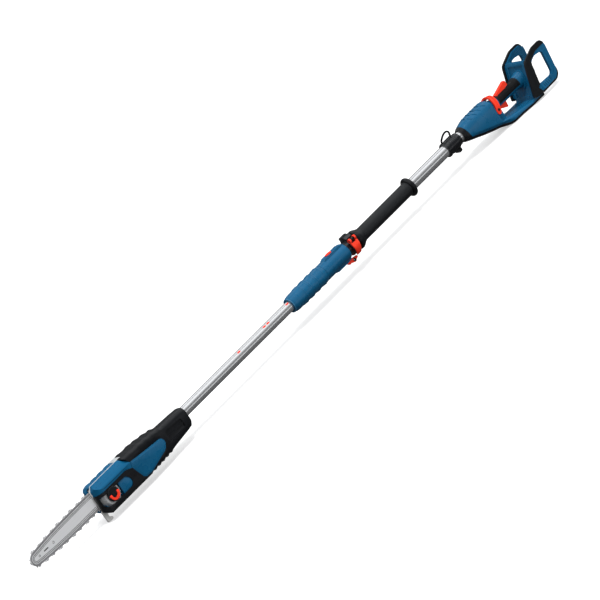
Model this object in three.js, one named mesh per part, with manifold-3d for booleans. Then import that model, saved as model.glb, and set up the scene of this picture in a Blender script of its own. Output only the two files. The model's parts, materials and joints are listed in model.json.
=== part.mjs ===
// Telescoping cordless pole saw.
// Millimetres. +X runs from the rear handle to the tip of the guide bar, +Y is the user's left,
// +Z is up. The origin is the middle of the rear foot's flat underside.
import * as THREE from 'three';
import { mergeVertices } from 'three/addons/utils/BufferGeometryUtils.js';
import Module from 'manifold-3d';

const wasm = await Module();
wasm.setup();

// ---------------------------------------------------------------- driving dimensions

const AXIS_HEIGHT = 66; // pole axis over the floor the saw lies on
const GAP = 0.3; // clearance between pieces that seat on each other

// telescoping pole
const FRONT_TUBE_R = 14;
const FRONT_TUBE_WALL = 1.2;
const SLIDE_GAP = 0.3;
const OUTER_TUBE_WALL = 1.0;
const OUTER_TUBE_BORE_R = FRONT_TUBE_R + SLIDE_GAP;
const OUTER_TUBE_R = OUTER_TUBE_BORE_R + OUTER_TUBE_WALL;
const SEAT_R = OUTER_TUBE_R + GAP; // bore of everything threaded on the outer tube
const OUTER_TUBE_FRONT = 838;
const OUTER_TUBE_REAR = 203;
const FRONT_TUBE_REAR = 452;
const TUBE_IN_HEAD = 114; // length of front tube held inside the head
const STUB_FRONT = 232;
const STUB_REAR = 92;
const BUSH_FLANGE = 6;
const BUSH_SPIGOT = 18;
const LEAD_LENGTH = 300;

// foam grip and its rings
const FOAM_R = 18.5;
const FOAM_FRONT = 576;
const FOAM_REAR = 390;
const FLANGE_R = 26.4;
const FLANGE_WIDTH = 11;
const RING_WIDTH = 25;

// blue front sleeve
const SLEEVE_FRONT = 860;
const SLEEVE_SEAM = 731;
const SLEEVE_REAR = 641;
const SLEEVE_R = 23.1;
const SLEEVE_RIB = 0.9;
const SLEEVE_RIB_COUNT = 4;
const RAIL_HALF_WIDTH = 9;
const RAIL_HEIGHT = 25.3;
const RAIL_LENGTH = 71;
const BUTTON_X = 685;
const BUTTON_LENGTH = 22;
const BUTTON_WIDTH = 12;
const BUTTON_PROUD = 2.1;
const BUTTON_TRAVEL = 3;
const BUTTON_STEM_R = 3;
const BOSS_HALF_WIDTH = 9;
const EYELET_X = 632;
const EYELET_DROP = 32.7;
const EYELET_R = 6.2;
const EYELET_HOLE_R = 3.2;
const EYELET_THICKNESS = 5;

// cam clamp
const CLAMP_FRONT = 640;
const CLAMP_MIDDLE = 620;
const CLAMP_REAR = 606;
const CLAMP_R = 24;
const CLAMP_SLIT = 3;
const LUG_TOP = 31;
const LUG_HALF = 14;
const CAM_Y = 24.5;
const CAM_Z = 18.5;
const CAM_EYE_R = 6;
const CAM_PIN_R = 2;
const LEVER_INNER_R = 26.5;
const LEVER_THICKNESS = 3.6;
const LEVER_WIDTH = 22;
const LEVER_TIP_WIDTH = 13;
const CAM_BOLT_R = 2.2;

// strap collar
const COLLAR_FRONT = 241;
const COLLAR_REAR = 190;
const COLLAR_R = 19.6;
const COLLAR_WAIST_R = 18.6;
const EAR_DROP = 28;
const LOOP_WIRE_R = 2;

// rear housing
const NOSE_FRONT = 181;
const COLLAR_TOP_LENGTH = 10; // the black nose ring's length along the top
const COLLAR_FOOT_LENGTH = 18;
const NOSE_TOP = 26.2; // highest line of the nose over the pole's axis
const FOOT_THICKNESS = 6.2;
const SKID_RISE = 2.6; // the skid's extra depth at the nose
const GRIP_HALF_WIDTH = 15;
const GRIP_TOP = 10.5;
const GRIP_BOTTOM = -17;
const BLOCK_HALF_WIDTH = 39;
const BLOCK_DEPTH = 18;
const BLOCK_LEAN = 20.5; // degrees from upright
const FOOT_HALF_WIDTH = 32;
const OVERMOULD = 2.2;
const GUARD_INNER_Y = 39.5;
const GUARD_THICKNESS = 9;
const RIM_PROUD = 0.8;
const RIM_SEAT = 3.5; // thickness of the blue plate that the rim sits on
const RIM_OVERHANG = 4; // how far the rim stands out past that plate's edge

// controls at the rear
const TRIGGER_WIDTH = 12;
const LOCK_WIDTH = 11;
const PIVOT_R = 2;
const BAIL_PIVOT_X = 63;
const BAIL_PIVOT_Z = -11;
const BAIL_HALF_WIDTH = 24.4;
const BAIL_THICKNESS = 5.4;
const BAIL_HALF_DEPTH = 7; // half the strap's width along the pole
const BAIL_LEAN = 17; // degrees the hoop leans back from upright
const BAIL_SCREW_R = 2;

// head
const HEAD_FRONT = 1631;
const BAR_THICKNESS = 3.4;
const BAR_GROOVE = 1.5;
const BAR_GROOVE_DEPTH = 5;
const BAR_HALF_HEIGHT = 19.4;
const BAR_NOSE_R = 12.5;
const BAR_REACH = 239; // from the head's front face to the bar's nose
const BAR_TAIL = 59; // length of bar inside the head
const BAR_TAIL_HALF_HEIGHT = 17.6;
const CHAIN_PITCH = 12.7; // one drive link to the next
const CHAIN_RIVET_LINE = 3; // rivets' height over the bar's rail
const STRAP_THICKNESS = 1.0;
const DRIVE_TEETH = 8;
const PITCH_R = CHAIN_PITCH / (2 * Math.sin(Math.PI / DRIVE_TEETH));
const NOSE_SPROCKET_TEETH = 6;
const KNOB_X = -40;
const KNOB_Z = -11;
const KNOB_R = 18.5;
const STUD_R = 3;
const SPLIT_Y = 4; // plane where the sprocket cover meets the gear case
const LINER_THICKNESS = 1.8;
const HEAD_HALF_WIDTH = 30;
const HEAD_TOP = 36.4;
const HEAD_BOTTOM = -46;
const CASE_WALL = 3;
const CHAIN_ROOM_WALL = 1.8; // wall between the chain's room and the oil tank
const CASE_LENGTH = 107;
const DRIVE_X = -(CASE_LENGTH - 27); // sprocket axis from the head's front face
const HEAD_LENGTH = 347;
const ROTOR_R = 21;
const HOOK_FRONT = 0;
const HOOK_LEG_WIDTH = 11.5;
const HOOK_THICKNESS = 5;
const CAP_R = 9;

const TUBE_SEGMENTS = 24;

// ---------------------------------------------------------------- materials

const finish = (color, roughness, metalness = 0) =>
  new THREE.MeshStandardMaterial({ color, roughness, metalness });
const BLUE = finish(0x14548c, 0.5);
const BLACK = finish(0x22262a, 0.62);
const SOFT_BLACK = finish(0x2b2e31, 0.85);
const ORANGE = finish(0xe8482f, 0.5);
const ALUMINIUM = finish(0xc4c6c8, 0.25, 1);
const STEEL = finish(0xa9abae, 0.35, 1);
const BAR_STEEL = finish(0xc2c3c4, 0.4, 1);
const GREY = finish(0x9b9da1, 0.5, 0.3);
const LIGHT_GREY = finish(0xb9babc, 0.5);
const TANK = finish(0xb9bec0, 0.35);
const COPPER = finish(0xa8632f, 0.4, 1);

// ---------------------------------------------------------------- shape helpers

const rad = THREE.MathUtils.degToRad;
const MIN_BEND = 0.004; // an outline point closer than this to its neighbours' line is left out

// A closed geometry becomes a manifold solid, whichever way its triangles were wound.
function solidOf(source) {
  const bare = source.index ? source.clone() : source;
  bare.deleteAttribute('normal');
  bare.deleteAttribute('uv');
  const merged = mergeVertices(bare, 1e-4);
  const position = merged.attributes.position.array;
  const index = merged.index.array;
  const kept = [];
  let volume = 0;
  for (let i = 0; i < index.length; i += 3) {
    const [a, b, c] = [index[i], index[i + 1], index[i + 2]];
    if (a === b || b === c || c === a) continue;
    kept.push(a, b, c);
    const [p, q, r] = [a, b, c].map((v) => new THREE.Vector3().fromArray(position, 3 * v));
    volume += p.dot(q.cross(r));
  }
  if (volume < 0) kept.reverse();
  const vertProperties = new Float32Array(position);
  const triVerts = new Uint32Array(kept);
  return new wasm.Manifold(new wasm.Mesh({ numProp: 3, vertProperties, triVerts }));
}

// A polygon given as [x, z] pairs, extruded along Y.
function plate(points, y0, y1, holes = []) {
  const geometry = new THREE.ExtrudeGeometry(shapeOf(points, holes), {
    depth: y1 - y0,
    bevelEnabled: false,
  });
  geometry.rotateX(Math.PI / 2);
  geometry.translate(0, y1, 0);
  return solidOf(geometry);
}

// A polygon given as [y, z] pairs, extruded along X.
function beam(points, x0, x1, holes = []) {
  const geometry = new THREE.ExtrudeGeometry(shapeOf(points, holes), {
    depth: x1 - x0,
    bevelEnabled: false,
  });
  geometry.applyMatrix4(new THREE.Matrix4().set(0, 0, 1, x0, 1, 0, 0, 0, 0, 1, 0, 0, 0, 0, 0, 1));
  return solidOf(geometry);
}

// A polygon given as [x, y] pairs, extruded along Z.
function column(points, z0, z1, holes = []) {
  const geometry = new THREE.ExtrudeGeometry(shapeOf(points, holes), {
    depth: z1 - z0,
    bevelEnabled: false,
  });
  geometry.translate(0, 0, z0);
  return solidOf(geometry);
}

// Outlines are turned anticlockwise first, so that holes come out wound the other way.
function shapeOf(points, holes) {
  const outline = bends(points);
  if (THREE.ShapeUtils.isClockWise(outline)) outline.reverse();
  const shape = new THREE.Shape(outline);
  for (const hole of holes) shape.holes.push(new THREE.Path(bends(hole)));
  return shape;
}

// The outline's points without those that lie on a straight run between their neighbours.
function bends(points) {
  const count = points.length;
  return points
    .filter(([u, v], i) => {
      const [a, b] = points[(i + count - 1) % count];
      const [c, d] = points[(i + 1) % count];
      const offLine = Math.abs((u - a) * (d - b) - (v - b) * (c - a)) / Math.hypot(c - a, d - b);
      return offLine > MIN_BEND;
    })
    .map(([u, v]) => new THREE.Vector2(u, v));
}

function box(x0, x1, y0, y1, z0, z1) {
  const geometry = new THREE.BoxGeometry(x1 - x0, y1 - y0, z1 - z0);
  geometry.translate((x0 + x1) / 2, (y0 + y1) / 2, (z0 + z1) / 2);
  return solidOf(geometry);
}

// A closed profile of [x, radius] pairs turned about the pole axis (X).
function turnedX(profile, segments = TUBE_SEGMENTS) {
  const points = [...profile, profile[0]].map(([x, r]) => new THREE.Vector2(r, x));
  const geometry = new THREE.LatheGeometry(points, segments);
  geometry.rotateZ(-Math.PI / 2);
  return solidOf(geometry);
}

// A closed profile of [y, radius] pairs turned about a cross axis (Y) through x, z.
function turnedY(profile, x, z, segments = 20) {
  const points = [...profile, profile[0]].map(([y, r]) => new THREE.Vector2(r, y));
  const geometry = new THREE.LatheGeometry(points, segments);
  geometry.translate(x, 0, z);
  return solidOf(geometry);
}

const pipe = (x0, x1, outer, inner, segments) =>
  turnedX([[x0, inner], [x0, outer], [x1, outer], [x1, inner]], segments);
const rod = (x0, x1, radius, y = 0, z = 0, segments = 16) =>
  turnedX([[x0, 0], [x0, radius], [x1, radius], [x1, 0]], segments).translate([0, y, z]);
const pin = (y0, y1, radius, x, z, segments = 16) =>
  turnedY([[y0, 0], [y0, radius], [y1, radius], [y1, 0]], x, z, segments);

// Rounded-corner polygon: every corner of the outline becomes an arc-like bend.
function rounded(points, radius, steps = 2) {
  const out = [];
  const count = points.length;
  for (let i = 0; i < count; i++) {
    const here = new THREE.Vector2(...points[i]);
    const back = new THREE.Vector2(...points[(i + count - 1) % count]).sub(here);
    const ahead = new THREE.Vector2(...points[(i + 1) % count]).sub(here);
    const reach = Math.min(radius, back.length() * 0.45, ahead.length() * 0.45);
    const start = here.clone().addScaledVector(back.normalize(), reach);
    const end = here.clone().addScaledVector(ahead.normalize(), reach);
    for (let k = 0; k <= steps; k++) {
      const t = k / steps;
      const u = (1 - t) ** 2 * start.x + 2 * t * (1 - t) * here.x + t ** 2 * end.x;
      const v = (1 - t) ** 2 * start.y + 2 * t * (1 - t) * here.y + t ** 2 * end.y;
      out.push([u, v]);
    }
  }
  return out;
}

const circle = (cu, cv, radius, segments = 16) =>
  Array.from({ length: segments }, (_, k) => {
    const angle = (2 * Math.PI * k) / segments;
    return [cu + radius * Math.cos(angle), cv + radius * Math.sin(angle)];
  });

// Ring of [y, z] points with separate corner radii above and below.
function section({ w, top, bottom, rTop, rBottom }, steps = 3) {
  const ring = [];
  const corners = [
    [w - rTop, top - rTop, rTop, 0],
    [-w + rTop, top - rTop, rTop, 90],
    [-w + rBottom, bottom + rBottom, rBottom, 180],
    [w - rBottom, bottom + rBottom, rBottom, 270],
  ];
  for (const [cy, cz, radius, from] of corners) {
    for (let k = 0; k <= steps; k++) {
      const angle = rad(from + (90 * k) / steps);
      ring.push([cy + radius * Math.cos(angle), cz + radius * Math.sin(angle)]);
    }
  }
  return ring;
}

// Skin over rings of equal point count; place() turns a ring's station and point into [x, y, z].
function loft(stations, rings, place) {
  const count = rings[0].length;
  const vertices = [];
  const index = [];
  rings.forEach((ring, i) => ring.forEach((point) => vertices.push(...place(stations[i], point))));
  for (let i = 0; i < rings.length - 1; i++) {
    for (let k = 0; k < count; k++) {
      const a = i * count + k;
      const b = i * count + ((k + 1) % count);
      index.push(a, b, a + count, b, b + count, a + count);
    }
  }
  const ends = [[rings[0], 0, true], [rings.at(-1), (rings.length - 1) * count, false]];
  for (const [ring, start, reverse] of ends) {
    for (const face of capFaces(ring)) {
      const corners = face.map((k) => start + k);
      index.push(...(reverse ? corners.reverse() : corners));
    }
  }
  const geometry = new THREE.BufferGeometry();
  geometry.setAttribute('position', new THREE.Float32BufferAttribute(vertices, 3));
  geometry.setIndex(index);
  return solidOf(geometry);
}

// Triangles that fill a ring, wound the way the ring runs.
function capFaces(ring) {
  const points = ring.map(([u, v]) => new THREE.Vector2(u, v));
  const faces = THREE.ShapeUtils.triangulateShape([...points], []);
  const [a, b, c] = faces[0].map((k) => points[k]);
  const faceClockwise = THREE.ShapeUtils.isClockWise([a, b, c]);
  return faceClockwise === THREE.ShapeUtils.isClockWise(points) ? faces : faces.map((f) => f.reverse());
}

// Loft of rounded sections along the pole.
function hull(sections, steps) {
  const stations = sections.map((s) => s.x);
  return loft(stations, sections.map((s) => section(s, steps)), (x, [y, z]) => [x, y, z]);
}

// Loft of [x, z] outlines along Y.
function crossLoft(layers) {
  return loft(layers.map((l) => l.y), layers.map((l) => l.outline), (y, [x, z]) => [x, y, z]);
}

// A round bar along a smooth curve.
function wire(points, radius, steps, sides = 8) {
  const curve = new THREE.CatmullRomCurve3(points.map((p) => new THREE.Vector3(...p)));
  const shape = shapeOf(circle(0, 0, radius, sides), []);
  const geometry = new THREE.ExtrudeGeometry(shape, { steps, extrudePath: curve });
  return solidOf(geometry);
}

const FAR = 400;
const leftHalf = (solid) => solid.intersect(box(-FAR, 2 * 1000, 0, FAR, -FAR, FAR));
const rightHalf = (solid) => solid.intersect(box(-FAR, 2 * 1000, -FAR, 0, -FAR, FAR));
const mirrorY = (solid) => solid.mirror([0, 1, 0]);

// ---------------------------------------------------------------- assembly

const root = new THREE.Group();
const saw = new THREE.Group();
saw.position.z = AXIS_HEIGHT;
root.add(saw);

function piece(name, solid, material) {
  const { vertProperties, triVerts } = solid.getMesh();
  const geometry = new THREE.BufferGeometry();
  geometry.setAttribute('position', new THREE.BufferAttribute(vertProperties, 3));
  geometry.setIndex(new THREE.BufferAttribute(triVerts, 1));
  geometry.computeVertexNormals();
  const mesh = new THREE.Mesh(geometry, material);
  mesh.name = name;
  saw.add(mesh);
}

// ---------------------------------------------------------------- pole

function buildTubes() {
  const frontEnd = HEAD_FRONT - HEAD_LENGTH + TUBE_IN_HEAD;
  const bore = FRONT_TUBE_R - FRONT_TUBE_WALL;
  piece('front_tube', pipe(FRONT_TUBE_REAR, frontEnd, FRONT_TUBE_R, bore), ALUMINIUM);
  piece('outer_tube', pipe(OUTER_TUBE_REAR, OUTER_TUBE_FRONT, OUTER_TUBE_R, OUTER_TUBE_BORE_R), ALUMINIUM);
  piece('stub_tube', pipe(STUB_REAR, STUB_FRONT, FRONT_TUBE_R, bore), ALUMINIUM);

  const spigot = bore - GAP;
  const flangeRear = FRONT_TUBE_REAR - BUSH_FLANGE;
  const flangeFront = FRONT_TUBE_REAR;
  const bush = turnedX([
    [flangeRear, spigot - 3],
    [flangeRear, FRONT_TUBE_R - 0.6],
    [flangeRear + 1, FRONT_TUBE_R],
    [flangeFront, FRONT_TUBE_R],
    [flangeFront, spigot],
    [flangeFront + BUSH_SPIGOT, spigot],
    [flangeFront + BUSH_SPIGOT, spigot - 3],
  ]);
  piece('slide_bush', bush, BLACK);

  const leadRear = flangeFront + BUSH_SPIGOT;
  piece('coiled_lead', pipe(leadRear, leadRear + LEAD_LENGTH, spigot, spigot - 5, 24), SOFT_BLACK);
}

function buildFoamGrip() {
  piece('foam_grip', pipe(FOAM_REAR, FOAM_FRONT, FOAM_R, SEAT_R), SOFT_BLACK);
  const flangeFront = FOAM_REAR;
  const flangeRear = flangeFront - FLANGE_WIDTH;
  const flange = turnedX([
    [flangeRear, SEAT_R],
    [flangeRear, FLANGE_R - 4],
    [flangeRear + 2.5, FLANGE_R - 0.7],
    [flangeRear + FLANGE_WIDTH / 2, FLANGE_R],
    [flangeFront - 2.5, FLANGE_R - 0.7],
    [flangeFront, FLANGE_R - 4],
    [flangeFront, SEAT_R],
  ]);
  piece('grip_flange', flange, BLACK);
  const ringRear = FOAM_FRONT;
  const ringFront = ringRear + RING_WIDTH;
  const ring = turnedX([
    [ringRear, SEAT_R],
    [ringRear, FOAM_R + 0.8],
    [ringRear + 4, FOAM_R + 1.6],
    [ringRear + 12, FLANGE_R - 1.8],
    [ringRear + 17, FLANGE_R + 0.3],
    [ringFront - 3, FLANGE_R + 0.3],
    [ringFront, FLANGE_R - 1.6],
    [ringFront, SEAT_R],
  ]);
  piece('grip_ring', ring, BLACK);
}

function buildSleeve() {
  // front part: a rounded mouth over the front tube, then shallow finger ribs
  const profile = [
    [OUTER_TUBE_FRONT + 1, SEAT_R],
    [OUTER_TUBE_FRONT + 1, FRONT_TUBE_R + 2 * GAP],
    [SLEEVE_FRONT, FRONT_TUBE_R + 2 * GAP],
    [SLEEVE_FRONT, SLEEVE_R - 5.6],
    [SLEEVE_FRONT - 3, SLEEVE_R - 3],
    [SLEEVE_FRONT - 9, SLEEVE_R - 1],
    [SLEEVE_FRONT - 18, SLEEVE_R - 0.1],
  ];
  const ribFront = SLEEVE_FRONT - 30;
  const ribPitch = (ribFront - SLEEVE_SEAM - 2) / SLEEVE_RIB_COUNT;
  const ribSteps = 3;
  for (let k = 0; k <= SLEEVE_RIB_COUNT * ribSteps; k++) {
    const wave = 1 - Math.cos((2 * Math.PI * k) / ribSteps);
    profile.push([ribFront - (ribPitch * k) / ribSteps, SLEEVE_R + SLEEVE_RIB * wave]);
  }
  profile.push([SLEEVE_SEAM + GAP, SLEEVE_R - 0.6], [SLEEVE_SEAM + GAP, SEAT_R]);
  piece('sleeve_grip', turnedX(profile), BLUE);

  // rear part: smooth barrel with the rail on top and a boss below
  const barrel = turnedX([
    [SLEEVE_REAR, SEAT_R],
    [SLEEVE_REAR, SLEEVE_R - 1.2],
    [SLEEVE_REAR + 2.5, SLEEVE_R],
    [SLEEVE_SEAM - 1.5, SLEEVE_R],
    [SLEEVE_SEAM, SLEEVE_R - 0.6],
    [SLEEVE_SEAM, SEAT_R],
  ]);
  const railFront = SLEEVE_REAR + RAIL_LENGTH;
  const railSide = [
    [SLEEVE_REAR, SEAT_R + 2],
    [railFront, SEAT_R + 2],
    [railFront, RAIL_HEIGHT - 3.4],
    [railFront - 8, RAIL_HEIGHT],
    [SLEEVE_REAR + 12, RAIL_HEIGHT],
    [SLEEVE_REAR, RAIL_HEIGHT - 3],
  ];
  const rail = plate(railSide, -RAIL_HALF_WIDTH, RAIL_HALF_WIDTH);
  const bossSide = [
    [SLEEVE_REAR, -SEAT_R - 2],
    [SLEEVE_REAR, -RAIL_HEIGHT + 2],
    [SLEEVE_REAR + 14, -RAIL_HEIGHT],
    [SLEEVE_REAR + 50, -RAIL_HEIGHT],
    [SLEEVE_REAR + 60, -SLEEVE_R + 1],
    [SLEEVE_REAR + 60, -SEAT_R - 2],
  ];
  const boss = plate(bossSide, -BOSS_HALF_WIDTH, BOSS_HALF_WIDTH);
  const groove = box(SLEEVE_REAR + 4, railFront - 1, RAIL_HALF_WIDTH, RAIL_HALF_WIDTH + 1.6, 19.6, 30);
  const buttonPocket = buttonShape(BUTTON_LENGTH / 2 + GAP, BUTTON_WIDTH / 2 + GAP, 22, RAIL_HEIGHT + 5);
  const stemHole = pinUp(BUTTON_X, BUTTON_STEM_R + GAP, SEAT_R - 1, 23);
  const eyeletSlot = box(SLEEVE_REAR - 1, SLEEVE_REAR + 22, ...halfSpan(EYELET_THICKNESS + 2 * GAP),
    -30, -22.5);
  const body = barrel.add(rail).add(boss)
    .subtract(groove)
    .subtract(mirrorY(groove))
    .subtract(buttonPocket)
    .subtract(stemHole)
    .subtract(eyeletSlot);
  piece('sleeve_body', body, BLUE);

  const cap = buttonShape(BUTTON_LENGTH / 2, BUTTON_WIDTH / 2, 22 + BUTTON_TRAVEL + GAP,
    RAIL_HEIGHT + BUTTON_PROUD);
  const stem = pinUp(BUTTON_X, BUTTON_STEM_R, SEAT_R + BUTTON_TRAVEL + 0.1, 26);
  piece('release_button', cap.add(stem), ORANGE);

  const eyelet = [
    [SLEEVE_REAR + 21, -27],
    [SLEEVE_REAR + 21, -22.8],
    [SLEEVE_REAR + 2, -22.8],
    [SLEEVE_REAR - 1, -25.6],
    [EYELET_X - 4, -EYELET_DROP + EYELET_R],
    [EYELET_X - 12, -EYELET_DROP + 5],
    [EYELET_X - 14, -EYELET_DROP + 1],
    [EYELET_X - 11, -EYELET_DROP - 1],
    [EYELET_X - 6, -EYELET_DROP - 2.5],
    [EYELET_X - 2, -EYELET_DROP - EYELET_R],
    [EYELET_X + 4, -EYELET_DROP - EYELET_R + 1],
    [SLEEVE_REAR + 4, -34],
    [SLEEVE_REAR + 10, -34.5],
    [SLEEVE_REAR + 14, -31],
    [SLEEVE_REAR + 14, -RAIL_HEIGHT - 0.2],
  ];
  const hole = circle(EYELET_X, -EYELET_DROP, EYELET_HOLE_R, 12);
  piece('sleeve_eyelet', plate(eyelet, ...halfSpan(EYELET_THICKNESS), [hole]), ORANGE);
}

const halfSpan = (width) => [-width / 2, width / 2];

// Oval column about the release button's axis.
function buttonShape(halfLength, halfWidth, z0, z1) {
  const oval = circle(0, 0, 1, 20).map(([u, v]) => [BUTTON_X + halfLength * u, halfWidth * v]);
  return column(oval, z0, z1);
}

function pinUp(x, radius, z0, z1) {
  return column(circle(x, 0, radius, 12), z0, z1);
}

function buildClamp() {
  const neck = CLAMP_FRONT - 11;
  const ring = turnedX([
    [CLAMP_REAR, SEAT_R],
    [CLAMP_REAR, CLAMP_R - 2],
    [CLAMP_REAR + 3, CLAMP_R],
    [neck - 2, CLAMP_R],
    [neck, CLAMP_R - 4],
    [CLAMP_FRONT, CLAMP_R - 4],
    [CLAMP_FRONT, SEAT_R],
  ]);
  const lugs = [
    [-LUG_HALF, SEAT_R - 8],
    [LUG_HALF, SEAT_R - 8],
    [LUG_HALF, LUG_TOP - 7],
    [LUG_HALF - 6, LUG_TOP - 2],
    [-LUG_HALF + 4, LUG_TOP],
    [-LUG_HALF, LUG_TOP - 2],
  ];
  const middle = CLAMP_MIDDLE;
  const block = beam(lugs, CLAMP_REAR + 2, neck - 1);
  const slit = box(CLAMP_REAR - 1, CLAMP_FRONT + 1, ...halfSpan(CLAMP_SLIT), 0, LUG_TOP + 1);
  const bore = rod(CLAMP_REAR - 1, CLAMP_FRONT + 1, SEAT_R, 0, 0, TUBE_SEGMENTS);
  const boltHole = pin(-30, 30, CAM_BOLT_R + GAP, middle, CAM_Z);
  const eyeRoom = beam(circle(CAM_Y, CAM_Z, CAM_EYE_R + GAP, 24), CLAMP_REAR - 1, CLAMP_FRONT + 1);
  const collar = ring.add(block)
    .subtract(bore)
    .subtract(slit)
    .subtract(boltHole)
    .subtract(pin(-30, -LUG_HALF, 5.2, middle, CAM_Z))
    .subtract(eyeRoom);
  piece('clamp_collar', collar, BLACK);

  const barrelHalf = LEVER_WIDTH / 2 - 5;
  const boltHead = pin(-LUG_HALF - 4, -LUG_HALF, 4.6, middle, CAM_Z, 6);
  const shank = pin(-LUG_HALF - 1, CAM_Y, CAM_BOLT_R, middle, CAM_Z);
  const barrel = rod(middle - barrelHalf + GAP, middle + barrelHalf - GAP, 3.8, CAM_Y, CAM_Z);
  const pinHole = rod(middle - 12, middle + 12, CAM_PIN_R + GAP, CAM_Y, CAM_Z);
  piece('clamp_bolt', shank.add(boltHead).add(barrel).subtract(pinHole), STEEL);
  const pinHalf = LEVER_WIDTH / 2;
  piece('clamp_pin', rod(middle - pinHalf, middle + pinHalf, CAM_PIN_R, CAM_Y, CAM_Z), STEEL);

  // lever: two cam eyes and a curved handle that follows the collar round to its underside
  const eye = circle(CAM_Y, CAM_Z, CAM_EYE_R, 20);
  const eyes = beam(eye, middle - pinHalf, middle + pinHalf);
  const slot = beam(circle(CAM_Y, CAM_Z, CAM_EYE_R + 2.4, 24), middle - barrelHalf, middle + barrelHalf);
  const band = [];
  const bandSteps = 9;
  const bandFrom = 56;
  const bandTo = 144;
  for (const radius of [LEVER_INNER_R, LEVER_INNER_R + LEVER_THICKNESS]) {
    for (let k = 0; k <= bandSteps; k++) {
      const share = radius === LEVER_INNER_R ? k / bandSteps : 1 - k / bandSteps;
      const angle = rad(bandFrom + (bandTo - bandFrom) * share);
      band.push([radius * Math.sin(angle), radius * Math.cos(angle)]);
    }
  }
  const handle = beam(band, middle - pinHalf, middle + pinHalf);
  const tip = LEVER_TIP_WIDTH / 2;
  const taper = plate([
    [middle - pinHalf, 30],
    [middle - pinHalf, 4],
    [middle - tip, -26],
    [middle + tip, -26],
    [middle + pinHalf, 4],
    [middle + pinHalf, 30],
  ], 0, 60);
  const lever = eyes.add(handle.intersect(taper)).subtract(slot);
  const through = rod(middle - 20, middle + 20, CAM_PIN_R + GAP, CAM_Y, CAM_Z);
  piece('clamp_lever', lever.subtract(through), ORANGE);
}

function buildStrapCollar() {
  const body = turnedX([
    [COLLAR_REAR, FRONT_TUBE_R + GAP],
    [COLLAR_REAR, COLLAR_WAIST_R - 1.8],
    [COLLAR_REAR + 2, COLLAR_WAIST_R - 1],
    [COLLAR_REAR + 9, COLLAR_WAIST_R - 1],
    [COLLAR_REAR + 11, COLLAR_R],
    [COLLAR_FRONT - 15, COLLAR_R],
    [COLLAR_FRONT - 13, COLLAR_WAIST_R],
    [COLLAR_FRONT - 10, COLLAR_WAIST_R],
    [COLLAR_FRONT - 8, COLLAR_R + 0.4],
    [COLLAR_FRONT - 1.5, COLLAR_R + 0.4],
    [COLLAR_FRONT, COLLAR_R - 1.2],
    [COLLAR_FRONT, SEAT_R],
    [OUTER_TUBE_REAR, SEAT_R],
    [OUTER_TUBE_REAR, FRONT_TUBE_R + GAP],
  ]);
  const earX = COLLAR_REAR + 17;
  const earOutline = rounded([
    [earX - 7, -SEAT_R - 1],
    [earX - 7, -EAR_DROP],
    [earX + 7, -EAR_DROP],
    [earX + 7, -SEAT_R - 1],
  ], 6, 3);
  const ears = plate(earOutline, -7.5, 7.5);
  const slit = box(COLLAR_REAR - 1, COLLAR_FRONT + 1, -1.25, 1.25, -EAR_DROP - 1, -SEAT_R + 3);
  const screwZ = -EAR_DROP + 5;
  const screwHole = pin(-20, 20, 2 + GAP, earX, screwZ);
  const headSeat = pin(5, 20, 4 + GAP, earX, screwZ);
  const sockets = [6, 38].map((back) => pinUp(COLLAR_FRONT - back, LOOP_WIRE_R + GAP, SEAT_R + 1.2, 30));
  const collar = body.add(ears)
    .subtract(slit)
    .subtract(screwHole)
    .subtract(headSeat)
    .subtract(sockets[0])
    .subtract(sockets[1]);
  piece('strap_collar', collar, BLACK);
  piece('strap_eyelet', strapLoop(), BLACK);
  const shank = pin(-7.4, 5.5, 2, earX, screwZ);
  const head = pin(5, 8.4, 4, earX, screwZ);
  piece('collar_screw', shank.add(head), STEEL);
}

function strapLoop() {
  const foot = SEAT_R + 1.6;
  return wire([
    [COLLAR_FRONT - 6, 0, foot],
    [COLLAR_FRONT - 6, 0, foot + 4],
    [COLLAR_FRONT - 8, 0, 25.6],
    [COLLAR_FRONT - 15, 0, 30.4],
    [COLLAR_FRONT - 24, 0, 34.6],
    [COLLAR_FRONT - 35, 0, 34.4],
    [COLLAR_FRONT - 40, 0, 28],
    [COLLAR_FRONT - 38, 0, 23],
    [COLLAR_FRONT - 38, 0, foot],
  ], LOOP_WIRE_R, 18, 6);
}

// ---------------------------------------------------------------- rear unit

// Sections of the nose, from the black ring back to the front wall of the handle opening.
const NOSE_SECTIONS = [
  { x: NOSE_FRONT, w: 17.2, top: 17.2, bottom: -18.5, rTop: 17, rBottom: 14 },
  { x: 174, w: 20.2, top: 20.2, bottom: -21.6, rTop: 19.5, rBottom: 14 },
  { x: 166, w: 22.2, top: 22.2, bottom: -24.4, rTop: 21, rBottom: 13 },
  { x: 157, w: 24, top: 24.2, bottom: -27.4, rTop: 22, rBottom: 12 },
  { x: 146, w: 25.6, top: 25.8, bottom: -31.7, rTop: 22, rBottom: 11 },
  { x: 128, w: 26.8, top: NOSE_TOP, bottom: -38.4, rTop: 22, rBottom: 10 },
  { x: 96, w: 27.4, top: 26, bottom: -48.8, rTop: 22, rBottom: 9 },
  { x: 78, w: 27.8, top: 25.5, bottom: -53.8, rTop: 21, rBottom: 8 },
  { x: 71, w: 27.8, top: 23.5, bottom: -56, rTop: 20, rBottom: 7 },
];

// The underside's height, which the skid follows back to the flat foot.
const BELLY = [...NOSE_SECTIONS.map((s) => [s.x, s.bottom]), [60, -61.8], [50, -65.2], [42, -AXIS_HEIGHT]];

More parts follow.
